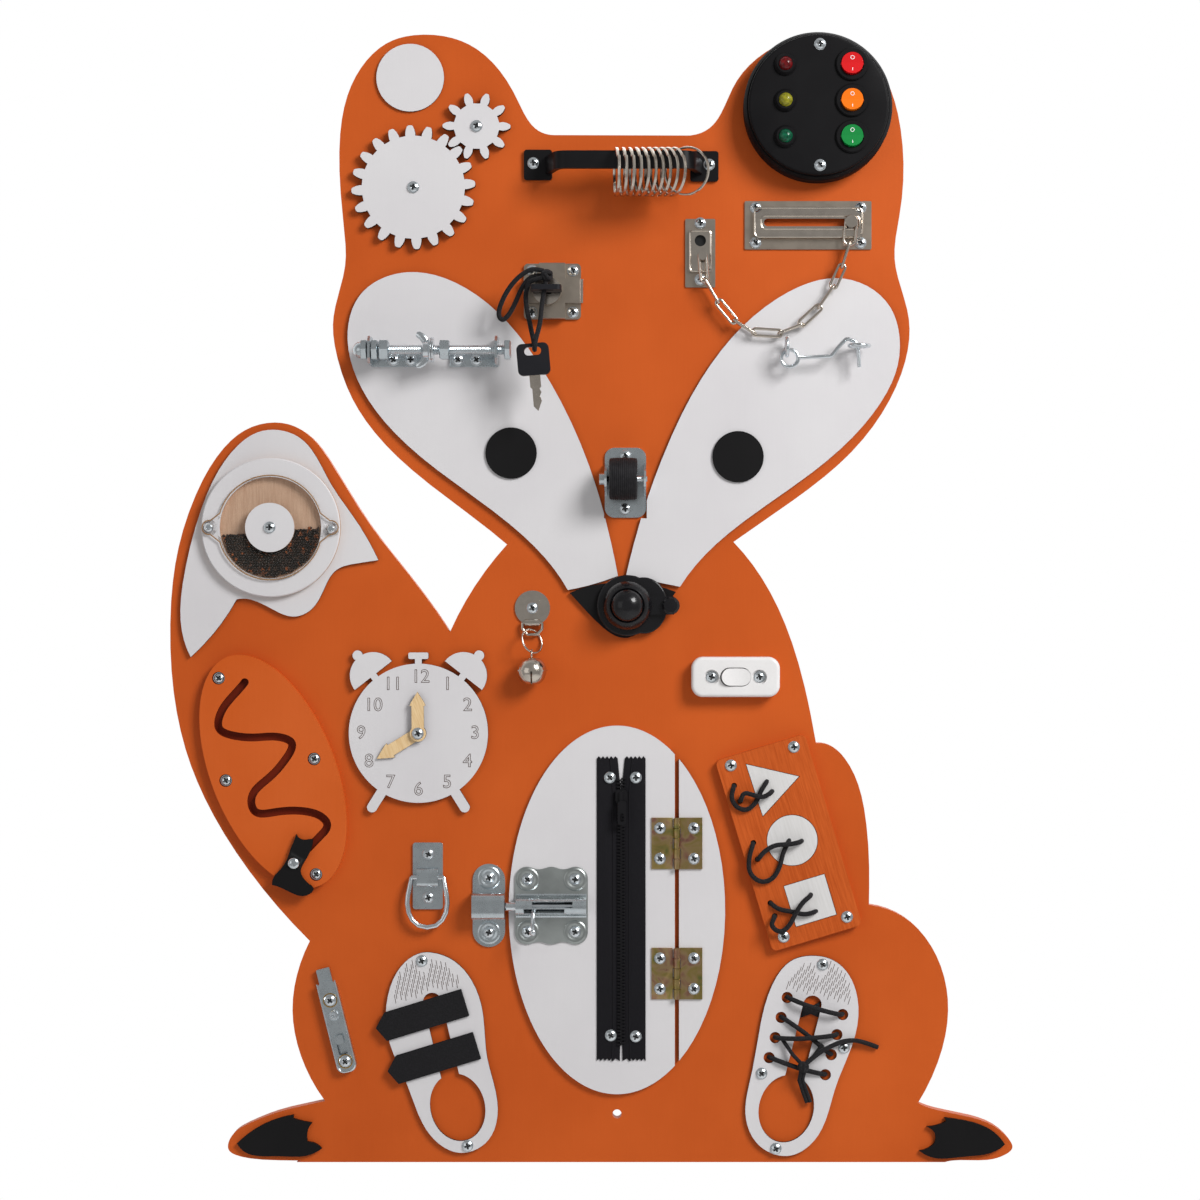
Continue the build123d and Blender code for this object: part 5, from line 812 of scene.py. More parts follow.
def boltEdge(x):
    # half the height of the lobed plate at x from its middle
    lobe, side = boltLook["lobe"], boltLook["wide"] / 2 - boltLook["lobe"]
    if abs(x) > side:
        return boltLook["tall"] - lobe + math.sqrt(max(lobe ** 2 - (abs(x) - side) ** 2, 0))
    return boltLook["tall"] - boltLook["dip"] * (1 - math.cos(2 * math.pi * x / side))


def boss(pile, x, z, low):
    # the pressed ring round a screw
    profile = [(8.4, -0.1), (7.6, 0.55), (6.7, 0.75), (5.5, 0.45), (4.4, 0.05)]
    lathe(pile, profile, place(x, z, low), sides=44)


steps = [-boltLook["wide"] / 2 * math.cos(math.pi * i / 48) for i in range(49)]
outline = [(boltLook["middle"] + x, boltLook["z"] + boltEdge(x)) for x in steps]
outline += [(boltLook["middle"] + x, boltLook["z"] - boltEdge(x)) for x in reversed(steps)]
boltPlate = Pile()
plate(boltPlate, outline, doorLook["front"], doorLook["plateFront"], 0.25)
for x, z in doorScrewLook["boltPlate"][1]:
    boss(boltPlate, x, z, doorLook["plateFront"])
boltPlate.make("boltPlate", "door", [greySteel], ["door_fittings"], sharp=30)

# the housing is a hump open at both ends, with a slot in two steps for the handle
turns, foot = boltLook["turns"], boltLook["foot"]
section = [(z, boltLook["height"] + rise) for z, rise in [radial(boltLook["hump"], turn) for turn in turns]]
section = foot + section + [(-z, height) for z, height in reversed(foot)]
stops = sorted({*boltLook["ends"], *[end for slot in boltLook["slots"] for end in slot[:2]]})
faces = []
for i in range(len(stops) - 1):
    for j in range(len(section) - 1):
        centre = (stops[i] + stops[i + 1]) / 2
        turn = turns[min(j - 3, len(turns) - 1)] + 1 if j >= len(foot) else -1
        if any(left < centre < right and low < turn < high for left, right, low, high in boltLook["slots"]):
            continue
        a, b = i * len(section) + j, (i + 1) * len(section) + j
        faces.append((a, b, b + 1, a + 1))
housing = Pile()
housing.add([place(x, boltLook["z"] + z, height) for x in stops for z, height in section], faces)
shell = housing.make("boltHousing", "door", [zincPlate], ["door_fittings"], sharp=180)
wall = shell.modifiers.new("wall", "SOLIDIFY")
wall.thickness, wall.offset = boltLook["wall"] / 1000, -1.0
shell.modifiers.new("split", "EDGE_SPLIT").split_angle = math.radians(25)

rod = Pile()
lathe(rod, boltLook["rod"], place(0, boltLook["z"], boltLook["height"]), xAxis, 32)
sweep(rod, [place(*point) for point in boltLook["handle"]], boltLook["handleWire"], 14)
ballLine = [radial(boltLook["ball"], turn)[::-1] for turn in range(0, 181, 15)]
lathe(rod, ballLine, place(*boltLook["ballAt"]), zAxis, 24)
rod.make("boltRod", "bolt", [zincBright], ["bolt_rod"])

bailLook = {"x": -134.2, "z": 168.3, "wire": 1.8, "axle": (11.6, 13.6), "bottom": (0, -35.1, 16.0),
            "arm": [(11.4, 0, 13.6), (12.4, -5.0, 15.2), (13.8, -12.0, 16.0), (14.3, -18.0, 16.0),
                    (13.3, -24.5, 16.0), (10.6, -30.0, 16.0), (6.2, -33.8, 16.0)]}
arm, (reach, height) = bailLook["arm"], bailLook["axle"]
loopLine = [(-x, z, h) for x, z, h in arm] + [bailLook["bottom"]] + arm[::-1]
axleLine = [(x, 0, height) for x in (-reach, 0, reach)]
bail = Pile()
for line in (loopLine, axleLine):
    sweep(bail, [place(bailLook["x"] + x, bailLook["z"] + z, h) for x, z, h in line], bailLook["wire"], 14)
bail.make("ringBail", "bail", [zincBright], ["ring_bail"], sharp=60)

# small trims on the fittings: bosses, brass rings, the latch's rim and rivet, and the chain plates' beads
latchLook = {"top": (-206.5, 94.9), "slope": 14.1, "half": 6.5, "corner": 5.0, "start": 0.8, "long": 60.9,
             "height": 15.0, "line": 0.55, "ring": [(5.2, 14.9), (5.1, 15.25), (4.6, 15.3), (4.3, 15.0)],
             "rivet": [(0, 15.0), (1.1, 15.2), (1.5, 16.0), (3.2, 15.8), (3.8, 15.0)], "rivetDown": 24.8}
beadLook = [  # middle, size, corner, height, half the width of the bead
    ((135.6, 632.3), (76.0, 20.6), 3.0, 14.7, 0.75), ((136.9, 632.3), (69.5, 9.2), 3.0, 15.0, 0.75),
    ((59.1, 612.3), (14.6, 28.4), 2.0, 13.5, 0.7),
]
rimLook = {"radius": 36.9, "lug": 4.9, "height": 20.1, "line": 0.42}


def onLatch(side, down):
    # a spot on the leaning latch, from the middle of its top
    c, s = radial(1.0, latchLook["slope"])
    return latchLook["top"][0] + side * c + down * s, latchLook["top"][1] + side * s - down * c


trims = Pile()
keeperSeat, keeperSpots = boardScrewLook["keeper"]
for x, z in keeperSpots:
    boss(trims, x, z, keeperSeat)
for x, z in boardScrewLook["latch"][1]:
    lathe(trims, latchLook["ring"], place(x, z), sides=36, mark=1)
half, corner, start = latchLook["half"], latchLook["corner"], latchLook["start"]
line = [(-half, start), *arc((corner - half, latchLook["long"]), corner, 180, 90, 6),
        *arc((half - corner, latchLook["long"]), corner, 90, 0, 6), (half, start)]
sweep(trims, [place(*onLatch(*spot), latchLook["height"]) for spot in line], latchLook["line"], 8, mark=3)
lathe(trims, latchLook["rivet"], place(*onLatch(0, latchLook["rivetDown"])), sides=32, mark=3)
for middle, size, corner, height, half in beadLook:
    sweep(trims, [place(x, z, height) for x, z in roundedBox(middle, size, corner)], half, 8, True, mark=2)
trims.make("fittingTrims", "board", [zincPlate, brass, nickel, zincBright], slot="board_fittings")
lug = arc((0, 0), rimLook["radius"], 16, 164, 37) + arc(spinnerLook["screws"][0], rimLook["lug"], 80, 280, 10)
lug += [(-x, -z) for x, z in lug]
middle = place(*spinnerLook["centre"], rimLook["height"])
rim = Pile()
sweep(rim, [middle + place(x, z) for x, z in lug], rimLook["line"], 8, True)
rim.make("spinnerRim", "spinner", [rimWood], slot="spinner_drum")
print("door hardware made")

# the zipper
zipLook = {"x": 3.0, "low": 38.3, "high": 254.2, "half": 17.3, "slider": 226.0, "gap": 0.35,
           "spread": (2.3, 1.3), "flare": (62.0, 24.0, 0.6), "pinks": 5, "pinkDeep": 1.7, "front": 14.1,
           "hem": (5.4, 0.5), "tooth": (3.4, 1.3, 1.2), "teeth": 79, "firstTooth": 50.0, "pitch": 2.4,
           "toothOut": 0.6, "toothHeight": 14.75}


def zipEdge(z):
    # how far each half stands from the middle line: open above the slider, and flared at the foot
    opened = max(0.0, (z - zipLook["slider"]) / (zipLook["high"] - zipLook["slider"]))
    (wide, power), (top, deep, flare) = zipLook["spread"], zipLook["flare"]
    return zipLook["gap"] + wide * opened ** power + flare * max(0.0, (top - z) / deep)


zipHalves, zipTeeth = Pile(), Pile()
middle, low, high, deep = [zipLook[key] for key in ("x", "low", "high", "pinkDeep")]
levels = [low + (high - deep - low) * i / 40 for i in range(41)]
start, end, count = zipEdge(high), zipLook["half"], 2 * zipLook["pinks"]
for side in (-1, 1):
    line = [(middle + side * zipEdge(z), z) for z in levels]
    line += [(middle + side * (start + (end - start) * i / count), high - (i % 2 == 0) * deep)
             for i in range(1, count + 1)]
    line += [(middle + side * (end - (end - start) * i / count), low + (i % 2) * deep) for i in range(count)]
    plate(zipHalves, line, doorLook["front"], zipLook["front"], 0.12)
    hem, cord = zipLook["hem"]
    hemLine = [place(middle + side * (hem + zipEdge(z)), z, zipLook["front"]) for z in levels]
    sweep(zipHalves, hemLine, cord, 8)
    for i in range(zipLook["teeth"]):
        z = zipLook["firstTooth"] + (i + (side > 0) * 0.5) * zipLook["pitch"]
        spot = place(middle + side * (zipEdge(z) + zipLook["toothOut"]), z, zipLook["toothHeight"])
        easedBlock(zipTeeth, spot, zipLook["tooth"], 0.2)
zipHalves.make("zipperTape", "door", [zipTape], ["zipper_tape"])
zipTeeth.make("zipperTeeth", "door", [zipBlack], ["zipper_tape"])
print("zipper made")

# seeds behind the window: two layers of a loose grid, up to a slightly tilted level
seedLook = {"radius": 1.1, "sizes": (0.88, 1.05), "pitch": 2.15, "rowPitch": 0.88, "jitter": 0.35,
            "inner": 16.6, "outer": 34.4, "level": -2.6, "ragged": 0.7, "tilt": 5.0, "heights": (16.0, 17.0),
            "rows": range(-19, 3), "columns": range(-20, 21)}
work = bmesh.new()
bmesh.ops.create_icosphere(work, subdivisions=1, radius=1.0)
seedPoints = [vert.co.copy() for vert in work.verts]
seedFaces = [[vert.index for vert in face.verts] for face in work.faces]
work.free()


def between(reach):
    return random.uniform(-reach, reach)


seedPile = Pile()
slope = math.tan(math.radians(seedLook["tilt"]))
for layer, height in enumerate(seedLook["heights"]):
    for row in seedLook["rows"]:
        for column in seedLook["columns"]:
            dx = (column + row % 2 / 2 + layer * 0.5) * seedLook["pitch"] + between(seedLook["jitter"])
            dz = row * seedLook["pitch"] * seedLook["rowPitch"] + between(seedLook["jitter"])
            if not seedLook["inner"] < math.hypot(dx, dz) < seedLook["outer"]:
                continue
            if dz - dx * slope < seedLook["level"] + between(seedLook["ragged"]):
                centre = place(spinnerLook["centre"][0] + dx, spinnerLook["centre"][1] + dz, height)
                size = seedLook["radius"] * random.uniform(*seedLook["sizes"])
                seedPile.add([centre + point * size for point in seedPoints], seedFaces)
seedPile.make("seedHeap", "seeds", [seedFinish], ["spinner_seeds"], sharp=180)
print("seeds poured")

# the threaded bolt in its brackets, and the wing nut; lengths along it are x on the board
threadLook = {"z": 540.5, "height": 31.0, "radius": 3.45, "depth": 0.4, "pitch": 1.25, "perTurn": 5,
              "sides": 20, "ends": (-182.0, -78.8), "flats": 13.0, "chamfer": (0.9, 0.5),
              "nuts": [(-179.7, -175.2), (-172.4, -167.6), (-166.8, -160.0), (-124.2, -117.4),
                       (-78.8, -74.4)],
              "dome": (5.9, 179.5), "cap": [(0, -74.5), (6.0, -74.5), (5.6, -74.2), (0, -74.2)]}
bracketLook = {"brackets": [(-174.6, -137.0, 1.8), (-83.6, -118.6, -1.8)],  # ear, far end, ear's thickness
               "z": 535.0, "tall": 10.0, "corner": 1.2, "levels": (13.0, 14.8),
               "ear": [(-9.7, 13.0), (-9.7, 33.0), (-6.0, 37.5), (6.0, 37.5), (9.7, 33.0), (9.7, 13.0)]}
wingLook = {"hub": [(3.6, -136.2), (5.2, -136.2), (6.0, -135.6), (6.0, -132.2), (5.6, -131.8), (3.6, -131.8)],
            "wing": [(-133.6, 4.6), (-134.6, 6.8), (-136.6, 9.2), (-139.2, 10.9), (-140.6, 11.4)],
            "thick": [0.9, 1.1, 1.1, 1.0, 0.6], "flat": 2.4}
axle = place(0, threadLook["z"], threadLook["height"])


def thread(pile, left, right):
    # a helical ridge on a round bar
    sides = threadLook["sides"]
    count = int((right - left) / threadLook["pitch"] * threadLook["perTurn"])
    points, faces = [], []
    for i in range(count + 1):
        x = left + (right - left) * i / count
        for k in range(sides):
            phase = abs(((i / threadLook["perTurn"] + k / sides) % 1.0) * 2 - 1)
            y, z = radial(threadLook["radius"] - threadLook["depth"] * phase, 360 * k / sides)
            points.append(axle + Vector((x, y, z)))
            if i:
                n, j = (i - 1) * sides, (k + 1) % sides
                faces.append((n + k, n + j, n + sides + j, n + sides + k))
    pile.add(points, faces)


def hexNut(pile, left, right):
    radius, (side, end) = threadLook["flats"] / 2 / math.cos(math.radians(30)), threadLook["chamfer"]
    profile = [(3.0, left), (radius - side, left), (radius, left + end), (radius, right - end),
               (radius - side, right), (3.0, right)]
    lathe(pile, profile, axle, xAxis, 6)


boltParts = Pile()
thread(boltParts, *threadLook["ends"])
for left, right in threadLook["nuts"]:
    hexNut(boltParts, left, right)
radius, reach = threadLook["dome"]
lathe(boltParts, arc((0, reach), radius, 0, 90, 6), axle, -xAxis, 28)
lathe(boltParts, threadLook["cap"], axle, xAxis, 28)
low, high = bracketLook["levels"]
for ear, end, thick in bracketLook["brackets"]:
    foot = roundedBox(((ear + end) / 2, bracketLook["z"]), (abs(ear - end), bracketLook["tall"]),
                      bracketLook["corner"], steps=3)
    plate(boltParts, foot, low, high, 0.25)
    points = [place(x, threadLook["z"] + z, h) for x in (ear, ear + thick) for z, h in bracketLook["ear"]]
    count = len(bracketLook["ear"])
    faces = [tuple(range(count)), tuple(range(2 * count - 1, count - 1, -1))]
    faces += [(i, (i + 1) % count, count + (i + 1) % count, count + i) for i in range(count)]
    boltParts.add(points, faces)
boltParts.make("threadedBolt", "board", [zincPlate], ["threaded_bolt"])
wing = Pile()
lathe(wing, wingLook["hub"], axle, xAxis, 32)
for side in (-1, 1):
    path = [axle + Vector((x, 0, side * z)) for x, z in wingLook["wing"]]
    sweep(wing, path, wingLook["thick"], 14, flat=wingLook["flat"])
wing.make("wingNut", "nut", [zincBright], ["wing_nut"])
print("bolt and wing nut made")

# the caster's tyre and the clock's numbers
wheelLook = {"x": 4.6, "z": 450.1, "height": 28.5, "radius": 15.0, "half": 9.9, "tread": 1.1, "ribs": 13,
             "groove": 0.35, "crown": 0.12, "side": [(3.0, 0), (12.8, 0), (14.4, 0.5)]}
steps, tread = wheelLook["ribs"] * 4, wheelLook["half"] - wheelLook["tread"]
profile = [(radius, reach - wheelLook["half"]) for radius, reach in wheelLook["side"]]
for i in range(steps + 1):
    x = (i / steps - 0.5) * 2 * tread
    groove = wheelLook["groove"] * (i % 4 == 0)
    profile.append((wheelLook["radius"] - groove - wheelLook["crown"] * (x / 5) ** 2, x))
profile += [(radius, -x) for radius, x in profile[2::-1]]
tyre = Pile()
lathe(tyre, profile, place(wheelLook["x"], wheelLook["z"], wheelLook["height"]), xAxis, 56)
tyre.make("casterTyre", "wheel", [rubberTread], ["caster_wheel"], sharp=25)

numberLook = {"size": 13.2, "line": 0.2, "height": 14.0, "spots": {
    12: (-139.16, 310.48), 1: (-119.99, 305.3), 2: (-105.79, 290.39), 3: (-100.47, 270.65),
    4: (-105.79, 250.63), 5: (-120.27, 235.86), 6: (-140.58, 230.75), 7: (-160.46, 235.86),
    8: (-175.65, 250.63), 9: (-181.19, 270.65), 10: (-172.53, 290.39), 11: (-158.76, 305.3)}}
for number, (x, z) in numberLook["spots"].items():
    name = "clockNumber-%d" % number
    text = bpy.data.curves.new(name, "FONT")
    text.body = str(number)
    text.size = numberLook["size"] / 1000
    text.align_x, text.align_y = "CENTER", "CENTER"
    text.fill_mode = "NONE"
    text.bevel_depth = numberLook["line"] / 1000
    text.materials.append(engraved)
    figure = bpy.data.objects.new(name, text)
    bpy.context.scene.collection.objects.link(figure)
    figure.location = place(x, z, numberLook["height"]) / 1000
    figure.rotation_euler = (math.radians(90), 0, 0)
    settle(figure, "board")
print("wheel and numbers made")

# split rings on the pull's bar, leaning more and more; the last one lies far over
ringLook = {"radius": 16.5, "wire": 1.0, "line": 0.78, "apart": 1.5, "steps": 96, "start": 0.6,
            "barZ": 673.0, "barTop": 6.2, "barHalf": 2.0, "slack": 0.3, "height": 38.0,
            "count": 10, "pitch": 4.4, "lean": 6.0, "step": 2.6, "last": (49.1, 64.0)}
keyRings = Pile()
spots = [(i * ringLook["pitch"], ringLook["lean"] + i * ringLook["step"]) for i in range(ringLook["count"])]
for x, lean in spots + [ringLook["last"]]:
    c, s = radial(1.0, lean)
    reach, inner = ringLook["barHalf"] / c + ringLook["wire"], ringLook["radius"] - ringLook["wire"]
    z = ringLook["barZ"] + ringLook["barTop"] + ringLook["slack"] - math.sqrt(inner ** 2 - reach ** 2)
    centre, side, normal = place(x, z, ringLook["height"]), Vector((s, -c, 0)), Vector((c, s, 0))
    # a split ring is two turns of wire side by side
    path = []
    for i in range(ringLook["steps"] + 1):
        done = i / ringLook["steps"]
        turn = 4 * math.pi * done + ringLook["start"]
        spot = side * ringLook["radius"] * math.cos(turn) + zAxis * ringLook["radius"] * math.sin(turn)
        path.append(centre + spot + normal * (done - 0.5) * ringLook["apart"])
    sweep(keyRings, path, ringLook["line"], 8)
keyRings.make("keyRings", "rings", [nickel], ["handle_rings"])
print("rings made")

# cords; their points are x, y and z, so y is less than zero in front of the board's back
cordLook = {"radius": 1.7}


def inMetres(point):
    return [value / 1000 for value in point]


def cordLine(name, points, body, slot):
    # a smooth cord through its route's points
    curve = bpy.data.curves.new(name, "CURVE")
    curve.dimensions = "3D"
    line = curve.splines.new("NURBS")
    line.points.add(len(points) - 1)
    for target, point in zip(line.points, points):
        target.co = (*inMetres(point), 1.0)
    line.order_u = 3
    line.use_endpoint_u = True
    line.resolution_u = 8
    curve.bevel_depth = cordLook["radius"] / 1000
    curve.bevel_resolution = 3
    curve.use_fill_caps = True
    curve.materials.append(laceBlack)
    piece = bpy.data.objects.new(name, curve)
    bpy.context.scene.collection.objects.link(piece)
    return settle(piece, body, [slot])


def knotLoops(pile, centre, tilts, radius, wave, wire):
    # three rings of cord at different tilts read as a knot
    for tilt in tilts:
        turns = [2 * math.pi * i / 28 for i in range(28)]
        ring = [centre + tilt @ Vector((radius * math.cos(turn), radius * math.sin(turn),
                                        wave * math.sin(2 * turn))) for turn in turns]
        sweep(pile, ring, wire, 10, True)


def rotation(degrees, axis):
    return Matrix.Rotation(math.radians(degrees), 3, axis)


keyStrand = [
    (-49.3, -42.5, 587.5), (-50.4, -42.4, 581.0), (-52.2, -43.4, 570.6), (-52.9, -44.8, 560.2),
    (-54.6, -46.2, 552.0), (-56.4, -46.9, 546.0), (-57.0, -46.7, 540.7), (-57.2, -42.0, 539.3),
    (-57.4, -37.3, 540.7), (-58.0, -37.1, 546.0), (-59.6, -35.4, 553.0), (-61.4, -34.6, 561.6),
    (-63.2, -35.4, 570.0), (-63.8, -37.4, 579.0), (-61.4, -40.4, 587.0), (-56.6, -43.2, 588.6),
    (-51.9, -43.7, 589.7),
]
keyLoop = [
    (-50.9, -42.1, 594.6), (-57.6, -41.6, 596.6), (-64.6, -40.2, 593.6), (-71.2, -38.0, 588.4),
    (-77.2, -35.6, 580.6), (-81.8, -33.0, 571.4), (-83.2, -31.4, 564.4), (-80.2, -30.8, 560.8),
    (-75.6, -31.2, 565.0), (-71.0, -32.4, 573.4), (-67.4, -34.0, 582.0), (-62.6, -36.2, 589.2),
    (-57.0, -38.0, 591.9), (-51.5, -39.9, 591.8),
]
strand = cordLine("keyCordStrand", keyStrand, "hanging_key", "key_cord")
loop = cordLine("keyCordLoop", keyLoop, "hanging_key", "key_cord")
knot = Pile()
tilts = [rotation(60 * i + 20, "X") @ rotation(35, "Y") for i in range(3)]
knotLoops(knot, Vector((-48.5, -42.5, 591.4)), tilts, 3.1, 0.5, 1.5)
knotPiece = knot.make("keyCordKnot", "hanging_key", [laceBlack], ["key_cord"])
inMetres(keyStrand[0])
inMetres(keyLoop[0])

laceLook = {"hole": 10.6, "low": 14.7, "high": 18.1, "knotWire": 1.4}
eyelets = {"left": [(120.7, 83.1), (116.4, 69.0), (112.2, 54.7), (107.9, 40.5)],
           "right": [(160.0, 71.0), (155.9, 56.8), (151.9, 42.6), (147.7, 28.4)]}


def laceRun(first, second, level, bow):
    # from the left eyelet first to the right eyelet second, in at one hole and out at the other
    (x, z), (farX, farZ) = eyelets["left"][first], eyelets["right"][second]
    return [(x, -laceLook["hole"], z), (x + 0.8, -level, z + 0.2),
            ((x + farX) / 2, -level - 0.8, (z + farZ) / 2 + bow),
            (farX - 0.8, -level, farZ + 0.2), (farX, -laceLook["hole"], farZ)]


laceEnd = [(133.0, -20.5, 37.0), (140.8, -20.3, 44.0), (150.6, -19.9, 49.6), (162.0, -15.7, 53.4),
           (174.0, -13.7, 52.4), (185.0, -12.1, 47.6)]
shoeRuns = {
    "shoeLaceTop": (laceRun(0, 0, laceLook["high"], -1.0), 0.049),
    "shoeLaceDown": (laceRun(1, 2, laceLook["low"], 2.0), 0.048),
    "shoeLaceUp": (laceRun(2, 1, laceLook["high"], -1.0), 0.052),
    "shoeLaceLow": (laceRun(3, 3, laceLook["low"], -1.0), 0.045),
    "shoeLaceEnd": (laceEnd, 0.058),
}
for name, (points, length) in shoeRuns.items():
    run = cordLine(name, points, "board", "laces")
    inMetres(points[0])
    "bare" if name == "shoeLaceEnd" else "object"
bow = Pile()
tilts = [rotation(50 * i, "Z") @ rotation(60 + 20 * i, "X") for i in range(3)]
knotLoops(bow, Vector((131.7, -19.7, 35.0)), tilts, 2.7, 0.0, 1.45)
tail = [(132.6, -20.1, 33.0), (131.4, -16.3, 25.4), (134.0, -14.3, 17.2), (137.0, -13.5, 9.2)]
sweep(bow, tail, laceLook["knotWire"], 12)
sweep(bow, [(x - 2.4, y + 0.2, z - 0.4) for x, y, z in tail], laceLook["knotWire"], 12)
for x, z in ((117.4, 53.4), (145.6, 50.2)):
    path = [(x, -15.1, z), ((x + 131.6) / 2, -laceLook["high"], (z + 36) / 2 - 1.5), (131.6, -19.5, 36.0)]
    sweep(bow, path, laceLook["knotWire"], 12)
bow.make("shoeLaceKnot", "board", [laceBlack], ["laces"])
tongueLook = {"middle": (137.4, 73.6), "low": 10.0, "high": 11.4,
              "outline": [(-7.0, 5.6), (0, 2.4), (7.0, 6.6), (6.0, 0), (7.0, -5.6), (0, -2.6), (-7.0, -5.0),
                          (-6.0, 0)]}
tongue = Pile()
x, z = tongueLook["middle"]
plate(tongue, [(x + a, z + b) for a, b in tongueLook["outline"]], tongueLook["low"], tongueLook["high"])
tongue.make("shoeTongue", "board", [strapGrain], slot="laces")

# the toes carry rows of short engraved strokes
hatchLook = {"pitch": 1.5, "stroke": 6.2, "gap": 1.3, "line": 0.2, "slant": 0.5, "height": 13.0, "foot": 1.5,
             "toes": [((-134.5, 83.0), (26.0, 30.0), 14.0), ((141.5, 82.0), (25.5, 29.0), -14.0)],
             "clear": [(-138.4, 109.1, 5.2), (145.8, 106.5, 5.2), (-131.0, 80.0, 7.6), (138.6, 78.0, 7.6),
                       (120.7, 83.1, 5.2), (160.0, 71.0, 5.2)]}
hatch = Pile()
stroke, step = hatchLook["stroke"], hatchLook["stroke"] + hatchLook["gap"]
for (toeX, toeZ), (wide, tall), tilt in hatchLook["toes"]:
    c, s = radial(1.0, tilt)
    for column in range(-18, 19):
        u = column * hatchLook["pitch"]
        v = hatchLook["foot"] + (column * 2 % 5) * step / 5
        while v + stroke < tall * math.sqrt(max(0.0, 1 - (u / wide) ** 2)):
            ends = [(u, v), (u + hatchLook["slant"], v + stroke)]
            spots = [(toeX + a * c - b * s, toeZ + a * s + b * c) for a, b in ends]
            if all(math.hypot(x - a, z - b) > room for x, z in spots for a, b, room in hatchLook["clear"]):
                sweep(hatch, [place(x, z, hatchLook["height"]) for x, z in spots], hatchLook["line"], 6)
            v += step
hatch.make("toeHatch", "board", [engraved], slot="white_panels")

# two cords from each insert to the panel: their length in metres and their route on the board
insertLook = {"heights": (18.1, 21.3), "start": 11.0, "end": 11.7}
lacePlan = {
    "triangle": [(0.058, [(83.0, 233.5), (80.6, 226.0), (83.6, 218.8), (91.6, 215.6), (98.6, 221.6),
                          (101.8, 230.0), (106.2, 236.6)]),
                 (0.043, [(87.2, 222.5), (89.4, 229.2), (96.0, 227.4), (103.0, 225.2), (110.0, 229.6)])],
    "circle": [(0.079, [(96.6, 193.0), (93.2, 182.6), (93.4, 171.6), (101.6, 164.8), (110.6, 167.6),
                        (115.4, 176.4), (117.4, 186.4), (122.0, 194.8)]),
               (0.051, [(99.6, 181.4), (103.4, 187.0), (111.6, 192.2), (121.6, 192.2), (131.0, 194.4)])],
    "square": [(0.044, [(108.6, 150.4), (114.6, 146.0), (124.0, 144.6), (132.6, 142.2), (141.0, 144.6)]),
               (0.064, [(111.6, 141.2), (108.4, 135.0), (115.0, 129.8), (121.6, 134.2), (126.0, 143.4),
                        (131.2, 151.8), (137.4, 156.4)])],
}
for name, pair in lacePlan.items():
    for level, (length, route) in enumerate(pair):
        height, (x, z), (farX, farZ) = insertLook["heights"][level], route[0], route[-1]
        points = [(x, -insertLook["start"], z)] + [(a, -height, b) for a, b in route]
        points.append((farX, -insertLook["end"], farZ))
        piece = cordLine("lace-%s-%d" % (name, level), points, name, "laces_" + name)
        inMetres(points[0])
print("cords laid")

# the floor, the room, the lamps and the camera
floorLook = {"drop": 900.0, "size": 5.0, "glow": 0.35, "greys": (0.86, 0.90)}
bpy.ops.mesh.primitive_plane_add(size=floorLook["size"], location=(0, 0, -floorLook["drop"] / 1000))
floor = bpy.context.object
floor.name = "studioFloor"
floorFinish = Finish("studioFloor", {"Roughness": 0.8, "Emission Strength": floorLook["glow"]})
stops = [(stop, (grey, grey, grey, 1)) for stop, grey in zip((0.3, 0.7), floorLook["greys"])]
floorFinish.put("Base Color", floorFinish.ramp(floorFinish.noise(3.0), stops))
seen = floorFinish.add("ShaderNodeLightPath")
floorFinish.put("Emission Color", floorFinish.mix(black, white, seen))
floor.data.materials.append(floorFinish.material)

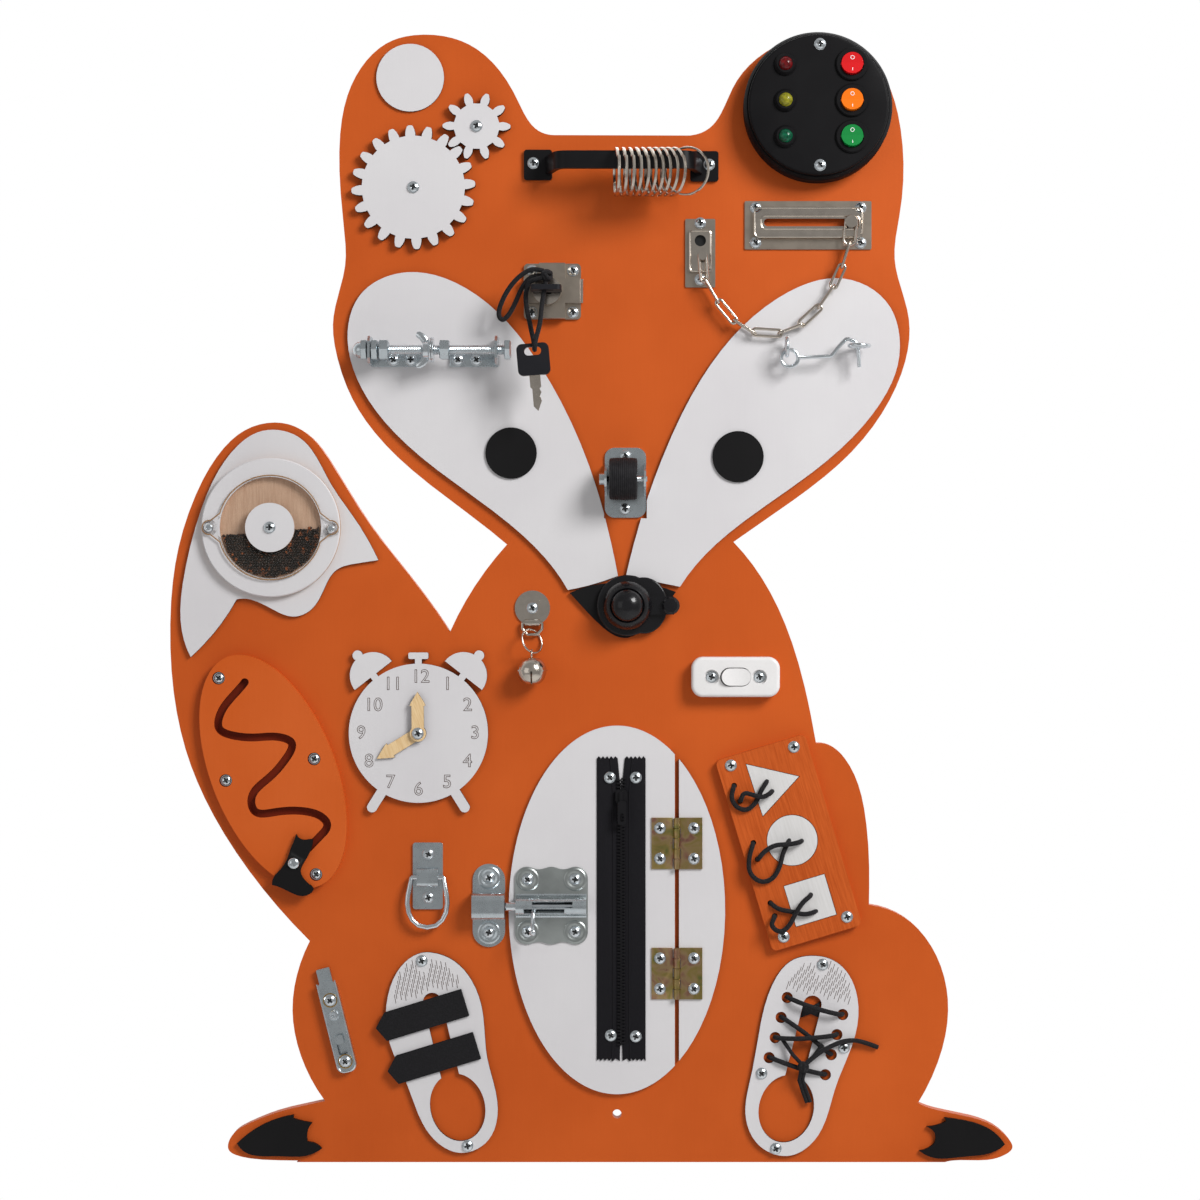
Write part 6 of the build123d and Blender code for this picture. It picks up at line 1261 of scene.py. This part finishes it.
# the room is white to the camera and behind the board; in front of it, metal sees a darker room and the lamps
airLook = {"fill": 0.34, "room": 0.30, "from": -0.35, "to": 0.30}
world = bpy.data.worlds.new("studio")
bpy.context.scene.world = world
world.use_nodes = True
sky = Finish("studio", {}, world.node_tree)
air = world.node_tree.nodes["Background"]
seen, shine = sky.add("ShaderNodeLightPath"), sky.add("ShaderNodeLightPath", out=3)
away = sky.part(sky.add("ShaderNodeTexCoord"), 1)
room = sky.add("ShaderNodeMapRange", {},
               {0: away, 1: airLook["from"], 2: airLook["to"], 3: airLook["room"], 4: 1.0})
level = shine * (room - airLook["fill"]) + airLook["fill"]
level = seen * (1.0 - level) + level
world.node_tree.links.new(level.socket, air.inputs["Strength"])
air.inputs["Color"].default_value = white

lampLook = {
    "key": {"spot": (1.35, -1.45, 1.55), "size": 0.85, "power": 48.5},
    "fill": {"spot": (-1.9, -2.2, 0.6), "size": 1.8, "power": 6.0},
    "back": {"spot": (0.4, 1.6, 1.4), "size": 1.6, "power": 12.0},
}
aim = Vector((0.0, 0.0, 0.36))
for name, look in lampLook.items():
    light = bpy.data.lights.new(name, "AREA")
    light.size = look["size"]
    light.energy = look["power"]
    lamp = bpy.data.objects.new(name, light)
    bpy.context.scene.collection.objects.link(lamp)
    lamp.location = look["spot"]
    lamp.rotation_euler = (aim - lamp.location).to_track_quat("-Z", "Y").to_euler()

# the frame's middle stands aside of the camera, so the lens is shifted
cameraLook = {"x": 20.0, "z": 364.9, "height": 10.0, "distance": 1900.0, "frameCentre": -12.07,
              "frameWide": 852.0, "sensor": 36.0}
camera = bpy.data.cameras.new("camera")
camera.sensor_width = cameraLook["sensor"]
camera.lens = cameraLook["sensor"] * cameraLook["distance"] / cameraLook["frameWide"]
camera.shift_x = (cameraLook["frameCentre"] - cameraLook["x"]) / cameraLook["frameWide"]
eye = bpy.data.objects.new("camera", camera)
bpy.context.scene.collection.objects.link(eye)
eye.location = place(cameraLook["x"], cameraLook["z"], cameraLook["height"] + cameraLook["distance"]) / 1000
eye.rotation_euler = (math.radians(90), 0, 0)
bpy.context.scene.camera = eye
bpy.context.scene.view_settings.view_transform = "Standard"

print("scene done")
